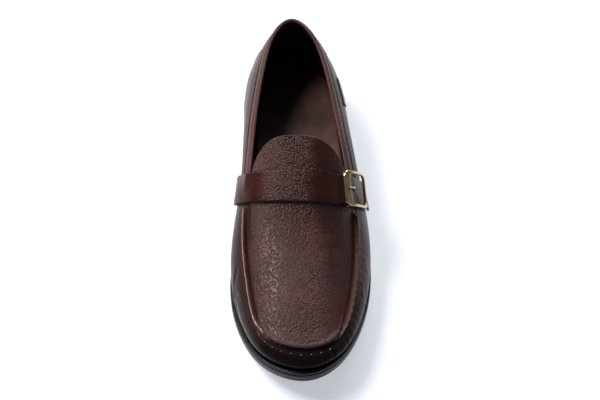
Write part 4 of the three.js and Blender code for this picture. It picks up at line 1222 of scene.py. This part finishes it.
strap_s = end_dense(36)
centre_line, half_line = strap_course(strap_length)
strap_offset = centre_line + half_line * (1 - 2 * strap_s[:, None])
column = np.broadcast_to(np.arange(len(strap_length)), strap_offset.shape)
skin_point = strap_at(line_point, column, strap_offset)
skin_normal = unit(strap_at(line_normal, column, strap_offset))
strap_border = np.minimum(strap_s, 1 - strap_s)[:, None] * 2 * half_line
ends_gap = np.minimum(strap_length - strap_length[0], strap_length[-1] - strap_length)[None]
crown = 0.22 * (1 - (2 * strap_s[:, None] - 1) ** 4) - 0.05
fill = round_edge(strap_border, 0.85) * round_edge(ends_gap, 0.8)
half = strap_thickness / 2
strap_mid = skin_point + skin_normal * (strap_gap + half)
strap_over = strap_mid + skin_normal * ((half + crown) * fill)[..., None]
strap_under = strap_mid - skin_normal * (half * fill)[..., None]
strap_faces = lattice(*strap_over.shape[:2])
strap_points, strap_quads = join([(strap_over, strap_faces), (strap_under, strap_faces[:, ::-1])])
strap_edge = np.maximum(1 - ease(0.35, 0.75, strap_border), 1 - ease(0.3, 0.7, ends_gap))
strap_smooth = np.maximum(
    ease(8, 36, -skin_point[..., 1]),
    0.75 * ease(-6, 24, skin_point[..., 1]) + 0.25 * ease(26, 38, skin_point[..., 1]))
strap_piece = add_piece(
    "strap_leather", strap_points, strap_quads, pebbled, ["strap"],
    {"edge": np.tile(strap_edge.ravel(), 2), "polish": np.tile(strap_smooth.ravel(), 2),
     # Painted light: the ridge note lightens the strap's outer tail, which lies in the buckle's shade, and raises its
     # shine.
     "ridge": np.tile(0.2 * ease(18, 36, skin_point[..., 1]).ravel(), 2)},
)

# %% [markdown]
# ## Buckle
# The buckle has a frame of its own: x runs down the strap, y towards the heel, z away from the
# shoe, with its origin on the strap over the hinge bar. The frame is a section carried round a
# rounded rectangle between an outer and an inner outline. Its upper bar is broad, the others
# are narrow, and every edge is bevelled. It is bowed along the strap.

# %% The buckle's frame of reference
side_bar, buckle_length, buckle_thickness = 1.9, 28.5, 2.2
wide_bar, thin_bar, buckle_corner, buckle_bow, bevel = 6, 2.2, 4.5, 1.5, 0.45
hinge_from_wide, lug_length, lug_width = 1.8, 2.6, 1.5
prong_diameter, hole_diameter = 1.8, 2.8
_, hinge_point, hinge_normal = strap_line(hinge_centre)
buckle_origin = hinge_point + hinge_normal * (hinge_lift + strap_gap + strap_thickness)


def on_middle(length):
    """The strap's underside on its middle line."""
    points = np.stack([walk.point(length) for walk in strap_walks])[:, None]
    return strap_at(points, np.array(0), strap_course(length)[0])


down = unit(on_middle(buckle_reach + buckle_length - wide_bar) - on_middle(buckle_reach - wide_bar))
bar_ends = [strap_line(hinge_centre + side * tail_width / 2)[1] for side in (-1, 1)]
heelwards = bar_ends[0] - bar_ends[1]
heelwards = unit(heelwards - down * (heelwards @ down))
outwards = np.cross(down, heelwards)
buckle_axes = np.stack([down, heelwards, outwards])
buckle_top = -wide_bar - hinge_from_wide
buckle_width = tail_width + 2 * (clearance + side_bar)


def on_buckle(points):
    """From the buckle's own coordinates to the shoe's."""
    return buckle_origin + points @ buckle_axes


def bow(x):
    """The bowed frame's dip below its middle, in proportion to the square of the distance."""
    return -buckle_bow * ((x - buckle_top - buckle_length / 2) / (buckle_length / 2)) ** 2


print("buckle:", buckle_length, "x", round(buckle_width, 1), "mm")

# %% Rounded rectangles and the frame's section


def rounded_rectangle(x0, x1, half_width, radius, corner=12, side=16):
    """A closed outline with the same number of points on each side and corner, so that an inner
    and an outer one can be joined point by point."""
    centres = [(x1 - radius, half_width - radius), (x0 + radius, half_width - radius),
               (x0 + radius, -half_width + radius), (x1 - radius, -half_width + radius)]
    arcs = []
    for k, (cx, cy) in enumerate(centres):
        angle = np.pi / 2 * (k + np.linspace(0, 1, corner))
        arcs.append(np.stack([cx + radius * np.cos(angle), cy + radius * np.sin(angle)], -1))
    outline = []
    for k in range(4):
        start, stop = arcs[k][-1], arcs[(k + 1) % 4][0]
        outline += [arcs[k], mix(start, stop, np.linspace(0, 1, side + 1)[1:-1, None])]
    return np.concatenate(outline)


buckle_end = buckle_top + buckle_length
half_width = buckle_width / 2
outer_outline = rounded_rectangle(buckle_top, buckle_end, half_width, buckle_corner)
inner_outline = rounded_rectangle(
    buckle_top + wide_bar, buckle_end - thin_bar, half_width - side_bar, buckle_corner - side_bar,
)
bar_width = np.linalg.norm(outer_outline - inner_outline, axis=1)
# Across the bar: distance in from its outer or inner side, and height; negative counts from inside.
bar_section = [
    (0.0, 0.35), (0.0, 1.2), (0.04, 1.62), (0.18, 1.9), (0.45, 2.08), (0.75, 2.2), (1.0, 2.24),
    (-1.0, 2.24), (-0.75, 2.2), (-0.45, 2.08), (-0.18, 1.9), (-0.04, 1.62), (0.0, 1.2), (0.0, 0.35),
    (-0.06, 0.1), (-0.3, 0.0), (0.3, 0.0), (0.06, 0.1),
]
inside_rows = set(range(7, 16))
section_share = []
for k, (offset, height) in enumerate(bar_section):
    part = np.minimum(abs(offset) / bar_width, 0.5)
    section_share.append(1 - part if k in inside_rows else part)
section_share = np.stack(section_share)
section_height = np.array([height for _, height in bar_section])[:, None]
plan = mix(outer_outline[None], inner_outline[None], section_share[..., None])
frame_up = clearance + section_height + buckle_bow + bow(plan[..., 0])
frame_own = stack(plan[..., 0], plan[..., 1], frame_up)
on_top = (section_height > 1.5) * (np.minimum(section_share, 1 - section_share) * bar_width)
broad = ease(3.2, 4.5, bar_width)
bright = 1 - ease(0.55, 1.0, on_top) * broad
frame_faces = lattice(*frame_own.shape[:2], close_rows=True, close_cols=True)
print("points round the frame:", len(outer_outline))

# %% Hinge bar, lugs and prong


def tube(path, radius, sides=20):
    """A round bar along a path of points in the x-z plane of the buckle or along y: a circle
    square to the path at each point, closed to a point at both ends."""
    tangent = unit(np.gradient(path, axis=0))
    helper = np.array([0.0, 1.0, 0.0]) if abs(tangent[0, 1]) < 0.5 else np.array([1.0, 0.0, 0.0])
    first = unit(np.cross(tangent, helper))
    second = np.cross(tangent, first)
    angle = np.linspace(0, 2 * np.pi, sides + 1)[:-1]
    ring = np.cos(angle)[:, None] * first[:, None] + np.sin(angle)[:, None] * second[:, None]
    return path[:, None] + ring * np.asarray(radius)[:, None, None]


def rounded_ends(count, length, radius):
    """Radii along a bar whose two ends are rounded off over their own radius."""
    place = np.linspace(0, length, count)
    return radius * np.maximum(round_edge(np.minimum(place, length - place), radius), 0.0)


bar_length = buckle_width - side_bar
bar_y = bar_length * (end_dense(40) - 0.5)
hinge_depth = -strap_thickness - clearance - hinge_diameter / 2
bar_path = stack(0 * bar_y, bar_y, hinge_depth)
bar_radius = hinge_diameter / 2 * round_edge(np.minimum(bar_y - bar_y[0], bar_y[-1] - bar_y), 0.4)
hinge_bar = tube(bar_path, bar_radius)
lug_rise = clearance + buckle_bow + buckle_thickness / 2 - hinge_depth
parts = [(frame_own, frame_faces), (hinge_bar, lattice(*hinge_bar.shape[:2], close_cols=True)[:, ::-1])]
lug_z = hinge_depth - 0.6 + (lug_rise + 0.3) * end_dense(16)
for side in (-1, 1):
    lug_path = stack(0 * lug_z, side * (half_width - side_bar / 2), lug_z)
    lug = tube(lug_path, round_edge(np.minimum(lug_z - lug_z[0], lug_z[-1] - lug_z), 0.5), 24)
    centre = lug_path[:, None]
    spread = (lug - centre)
    squared = spread / np.maximum(np.abs(spread).max(-1, keepdims=True), 1e-6)
    fill = np.linalg.norm(spread, axis=-1, keepdims=True)
    lug = centre + squared * fill * np.array([lug_length / 2, lug_width / 2, 1.0])
    parts.append((lug, lattice(*lug.shape[:2], close_cols=True)[:, ::-1]))
buckle_points, buckle_quads = join(parts)
own = buckle_points.copy()
bright_note = np.concatenate([bright.ravel(), np.full(len(buckle_points) - bright.size, 0.3)])
add_piece(
    "buckle_brass", on_buckle(buckle_points), buckle_quads, brass, ["buckle_frame"],
    {"own": own, "bright": bright_note},
)

prong_rise = 2 * clearance + buckle_bow + buckle_thickness + prong_diameter / 2
prong_tip = -0.83 * wide_bar
prong_nodes = np.array([
    (0.17 * prong_diameter, -strap_thickness - clearance),
    (0.17 * prong_diameter, 0.0),
    (0.17 * prong_diameter, 0.5 * prong_rise),
    (-0.28 * prong_diameter, 0.93 * prong_rise),
    (0.38 * prong_tip, prong_rise),
    (prong_tip - hinge_from_wide, prong_rise + float(bow(prong_tip))),
])
prong_line = cut_corners(prong_nodes, 4)
run_line = np.concatenate([[0], np.cumsum(np.linalg.norm(np.diff(prong_line, axis=0), axis=1))])
prong_s = run_line[-1] * end_dense(60)
prong_path = stack(
    np.interp(prong_s, run_line, prong_line[:, 0]), 0.0, np.interp(prong_s, run_line, prong_line[:, 1]),
)
taper = mix(1.0, 0.72, ease(0.35, 1.0, prong_s / prong_s[-1]))
prong_radius = prong_diameter / 2 * taper * round_edge(np.minimum(prong_s, prong_s[-1] - prong_s), 0.6)
prong = tube(prong_path, prong_radius)
add_piece(
    "prong_brass", on_buckle(prong.reshape(-1, 3)), lattice(*prong.shape[:2], close_cols=True)[:, ::-1],
    brass, ["buckle_prong"],
    {"own": prong.reshape(-1, 3), "bright": np.full(prong.size // 3, 0.85)},
)

# %% [markdown]
# ## Strap holes
# The strap has two punched holes, the prong's and a spare. They could be painted on, but a real
# hole has a wall that shades itself, so two round punches cut the finished strap.

# %% Punching the strap
punch_path = stack(0.0, 0.0, np.array([-6.0, -6.0, 4.0, 4.0]))
for x in (0.0, hole_spacing):
    punch = on_buckle(tube(punch_path * np.array([1, 1, 1]) + np.array([x, 0, 0]) + np.array(
        [[0, 0, 0], [0, 0, 0.001], [0, 0, 0.001], [0, 0, 0.002]]), np.array([0.0, 1.0, 1.0, 0.0])
        * hole_diameter / 2, 32).reshape(-1, 3))
    mesh = bpy.data.meshes.new("punch")
    mesh.from_pydata(to_model(punch).tolist(), [], lattice(4, 32, close_cols=True)[:, ::-1].tolist())
    work = bmesh.new()
    work.from_mesh(mesh)
    bmesh.ops.remove_doubles(work, verts=work.verts, dist=2e-6)
    bmesh.ops.recalc_face_normals(work, faces=work.faces)
    work.to_mesh(mesh)
    work.free()
    cutter = bpy.data.objects.new("punch", mesh)
    bpy.context.scene.collection.objects.link(cutter)
    cut = strap_piece.modifiers.new("punch", "BOOLEAN")
    cut.operation, cut.solver, cut.object = "DIFFERENCE", "EXACT", cutter
    bpy.context.view_layer.update()
    ready = strap_piece.evaluated_get(bpy.context.evaluated_depsgraph_get())
    punched = bpy.data.meshes.new_from_object(ready)
    strap_piece.modifiers.clear()
    strap_piece.data = punched
    bpy.data.objects.remove(cutter)
print("strap after punching:", len(strap_piece.data.polygons), "faces")

# %% [markdown]
# ## Heel counter and side tab
# The counter is a second layer of leather round the heel, cut as an arch, with a groove that
# follows its edge 6.5 mm inside, and its near-black colour is painted shade. The small tab
# under the collar is left plain.

# %% Patches on the wall
counter_reach, counter_drop, counter_thickness = 1.75, 23.5, 1.2


def patch(u_from, u_to, s_share, t_share, low_high):
    """A grid on the wall between two stations; low_high gives its shares of the wall's height."""
    u = mix(u_from, u_to, s_share)[None] + ring_span + 0 * t_share[:, None]
    low, high = low_high(u)
    v = mix(low, high, t_share[:, None])
    return u, v, wall(u, v), wall_normal(u, v)


counter_s, counter_t = end_dense(120), end_dense(56)


def counter_span(u):
    """From the foot of the wall to an arch that is full at the heel and low at its ends."""
    s = np.clip(np.abs(u - ring_span) / counter_reach, 0, 1)
    arch_here = mix(0.3, 1.0, np.sqrt(np.maximum(1 - s**3, 0)))
    height = wall_height(u)
    return clearance / height, (1 - counter_drop / height) * arch_here


cu, cv, c_skin, c_out = patch(-counter_reach, counter_reach, counter_s, counter_t, counter_span)
c_low, c_high = counter_span(cu)
c_height = (c_high - c_low) * wall_height(cu)
to_top = (1 - counter_t[:, None]) * c_height
to_side = np.minimum(counter_s, 1 - counter_s)[None] * 96 + 0 * to_top
c_border = np.minimum(to_top * np.sqrt(0.35 + 0.65 * ease(0, 12, to_side)), to_side)
to_foot = counter_t[:, None] * c_height
c_fill = round_edge(np.minimum(c_border, to_foot), 0.7)
c_groove = bump(c_border, 6.5, 0.55) * ease(0, 2, to_foot)
c_mid = c_skin + c_out * (clearance + counter_thickness / 2 - 0.42 * c_groove[..., None])
c_points, c_faces = slab(c_mid, c_out, counter_thickness / 2 * c_fill)
add_piece(
    "counter_leather", c_points, c_faces, shaded_counter_leather, ["counter"],
    {
        "edge": np.tile((1 - ease(0.3, 0.8, c_border)).ravel(), 2),
        # Darkens the counter's groove: dirt and wax, with painted shade.
        "groove": np.tile(c_groove.ravel(), 2),
        "polish": np.tile(np.full(c_groove.size, 0.6), 2),
    },
)

tab_length, tab_height, tab_thickness, tab_station, tab_drop = 24, 6, 1, 20.85, 15
station_length = float(np.linalg.norm(top_line(np.array(tab_station - 0.5)) - top_line(np.array(tab_station + 0.5))))
tab_reach = tab_length / 2 / station_length
tab_s, tab_t = end_dense(60), end_dense(24)


def tab_span(u):
    """A strip of even height under the collar band."""
    high = 1 - tab_drop / wall_height(u)
    return high - tab_height / wall_height(u), high


tu, tv, t_skin, t_out = patch(
    tab_station - tab_reach, tab_station + tab_reach, tab_s, tab_t, tab_span
)
t_border = np.minimum(
    np.minimum(tab_s, 1 - tab_s)[None] * tab_length,
    np.minimum(tab_t, 1 - tab_t)[:, None] * tab_height,
)
t_points, t_faces = slab(
    t_skin + t_out * (clearance + tab_thickness / 2), t_out, tab_thickness / 2 * round_edge(t_border, 0.5)
)
add_piece(
    "side_tab_leather", t_points, t_faces, tab_leather, ["side_tab"],
    {"edge": np.tile((1 - ease(0.3, 0.75, t_border)).ravel(), 2)},
)

# %% [markdown]
# ## Stitches
# A row of stitches is one mesh: the same short arched thread, copied to every place as whole
# arrays. Thread follows the collar band's step and, round the toe, the moccasin seam.

# %% Threads along a line


def threads(points, directions, normals, length, radius, sides=6, beads=6):
    """Arched threads: t from -1 to 1 along the stitch, raised by radius (1.4 - 1.6 t^2), and a
    circle round that line which closes at both ends."""
    t = np.linspace(-1, 1, beads)
    angle = np.linspace(0, 2 * np.pi, sides + 1)[:-1]
    side = np.cross(normals, directions)
    fill = radius * np.sqrt(np.maximum(1 - t**4, 0))
    line = (points[:, None] + directions[:, None] * (t * length / 2)[:, None]
            + normals[:, None] * (radius * (0.9 - 1.5 * t**2))[:, None])
    ring = (side[:, None, None] * np.cos(angle)[:, None] + normals[:, None, None] * np.sin(angle)[:, None])
    grid = line[:, :, None] + ring * fill[None, :, None, None]
    one = lattice(beads, sides, close_cols=True)
    faces = one[None] + (np.arange(len(points)) * beads * sides)[:, None, None]
    return grid, faces.reshape(-1, 4)


def even_stations(u_from, u_to, pitch):
    """Stations an even distance apart along the top line."""
    start, stop = run_of(u_from), run_of(u_to)
    count = int((stop - start) / pitch)
    return np.interp(start + pitch * (np.arange(count) + 0.5), seam_run, fine_ring)


def wall_seat(u, drop_here, lift):
    """A point on the wall's outer face below the top line, its direction round the shoe, and
    the wall's normal."""
    v = 1 - drop_here / wall_height(u)
    normal = wall_normal(u, v)
    along = unit(wall(u + 0.01, v) - wall(u - 0.01, v))
    return wall(u, v) + normal * lift, along, normal


collar_side = 5.45
band_u = np.concatenate([
    even_stations(0, collar_side, 2.9), even_stations(ring_span - collar_side, ring_span, 2.9),
])
band_seat = wall_seat(band_u, 12.1, 0.64)
stitch_points, stitch_faces = threads(*band_seat, 2.1, 0.17)
add_piece("collar_stitches", stitch_points, stitch_faces, brown_thread)
# The pale thread at the pinholes round the toe is a painted glint in the holes.
pin_u = even_stations(10.45, 13.1, stitch_pitch)
pin_seat = wall_seat(pin_u, 0.9 * np.ones(len(pin_u)), 0.1)
pin_points, pin_faces = threads(*pin_seat, 1.1, 0.3)
add_piece("toe_stitches", pin_points, pin_faces, glint_thread)

# %% [markdown]
# ## Floor, light and camera
# The shoe stands on a plain pale floor that curves up far behind it and glows faintly, which
# lightens the shoe's shadow on it and adds light to the shoe. A broad soft light at the upper
# left makes the sheen on the apron and, with a painted highlight, the bright line on the ridge,
# a weaker one from the right lifts the outer side, and the room is pale. The camera looks down
# on the toe at 51 degrees, a little rolled, from 1.2 m away through a long lens.

# %% Floor


def studio_floor():
    """A floor that turns up in a quarter circle: flat, then r (1 - cos), then straight up."""
    reach, radius, width = 1.6, 0.8, 4.0
    flat = np.stack([np.linspace(-2.5, reach, 12), np.zeros(12)], -1)
    angle = np.linspace(0, np.pi / 2, 25)[1:]
    turn = np.stack([reach + radius * np.sin(angle), radius * (1 - np.cos(angle))], -1)
    rise = np.array([[reach + radius, 2.6]])
    line = np.concatenate([flat, turn, rise])
    x = np.linspace(-width, width, 9)
    grid = stack(x[None], line[:, :1], line[:, 1:])
    mesh = bpy.data.meshes.new("studio_floor")
    faces = lattice(*grid.shape[:2])
    mesh.from_pydata(grid.reshape(-1, 3).tolist(), [], faces.tolist())
    mesh.shade_smooth()
    s = Shader("pale_floor")
    # The floor glows: its emission is painted light that lightens the shoe's shadow on it and also lights the shoe.
    s.set(base_color=s.blend(s.noise(3.0).outputs["Fac"], rgb(0.53, 0.54, 0.55), rgb(0.56, 0.57, 0.58)),
          roughness=0.75, emission_color=rgb(0.9, 0.93, 1.0), emission_strength=0.5)
    mesh.materials.append(s.material)
    floor = bpy.data.objects.new("studio_floor", mesh)
    bpy.context.scene.collection.objects.link(floor)


studio_floor()
print("floor ready")

# %% Lights


def soft_light(name, place, aim, size, power, colour=(1.0, 1.0, 1.0)):
    """A square area light at a place, turned to an aim."""
    light = bpy.data.lights.new(name, "AREA")
    light.shape, light.size, light.energy, light.color = "SQUARE", size, power, colour
    lamp = bpy.data.objects.new(name, light)
    back = unit(np.array(place, float) - np.array(aim, float))
    right = unit(np.cross([0.0, 0.0, 1.0], back))
    turn = np.eye(4)
    turn[:3, 0], turn[:3, 1], turn[:3, 2], turn[:3, 3] = right, np.cross(back, right), back, place
    lamp.matrix_world = Matrix(turn.tolist())
    bpy.context.scene.collection.objects.link(lamp)


soft_light("key", (-0.73, 0.31, 1.15), (0.0, 0.0, 0.03), 0.72, 30)
soft_light("back", (0.4, 1.9, 0.85), (0.0, 0.1, 0.03), 1.4, 36)
soft_light("fill", (1.5, -0.3, 0.6), (0.0, 0.0, 0.03), 1.0, 3, (0.93, 0.96, 1.0))
world = bpy.data.worlds.new("pale_room")
world.use_nodes = True
world.node_tree.nodes["Background"].inputs["Color"].default_value = rgb(0.84, 0.91, 1.0)
world.node_tree.nodes["Background"].inputs["Strength"].default_value = 0.13
bpy.context.scene.view_settings.view_transform = "Standard"
bpy.context.scene.world = world
print("three lights and a pale room")

# %% Camera
image_width, image_height = 600, 400
focal_pixels = 1603.0
eye = np.array([-27.4, -738.5, 951.9])
azimuth, elevation, roll = np.radians([-5.42, 51.03, 3.02])
middle_pixel = np.array([245.0, 204.0])

back_way = np.array([
    np.sin(azimuth) * np.cos(elevation), -np.cos(azimuth) * np.cos(elevation), np.sin(elevation),
])
ahead_way = -back_way
right_way = unit(np.cross(ahead_way, [0.0, 0.0, 1.0]))
down_way = np.cross(ahead_way, right_way)
right_rolled = np.cos(roll) * right_way - np.sin(roll) * down_way
down_rolled = np.sin(roll) * right_way + np.cos(roll) * down_way
offset = (middle_pixel - [image_width / 2, image_height / 2]) / focal_pixels
aim = unit(ahead_way + offset[0] * right_rolled + offset[1] * down_rolled)
right_aim = unit(right_rolled - aim * (right_rolled @ aim))
down_aim = np.cross(aim, right_aim)

camera_data = bpy.data.cameras.new("camera")
camera_data.sensor_width = 36.0
camera_data.lens = focal_pixels / image_width * 36.0
camera = bpy.data.objects.new("camera", camera_data)
eye_model = eye / 1000 + np.array([shift_x, shift_y - 0.15, 0.0])
pose = np.eye(4)
pose[:3, 0], pose[:3, 1], pose[:3, 2], pose[:3, 3] = right_aim, -down_aim, -aim, eye_model
camera.matrix_world = Matrix(pose.tolist())
bpy.context.scene.collection.objects.link(camera)
bpy.context.scene.camera = camera
print("camera", round(float(np.linalg.norm(eye_model)), 2), "m from the shoe, lens", round(camera_data.lens, 1), "mm")
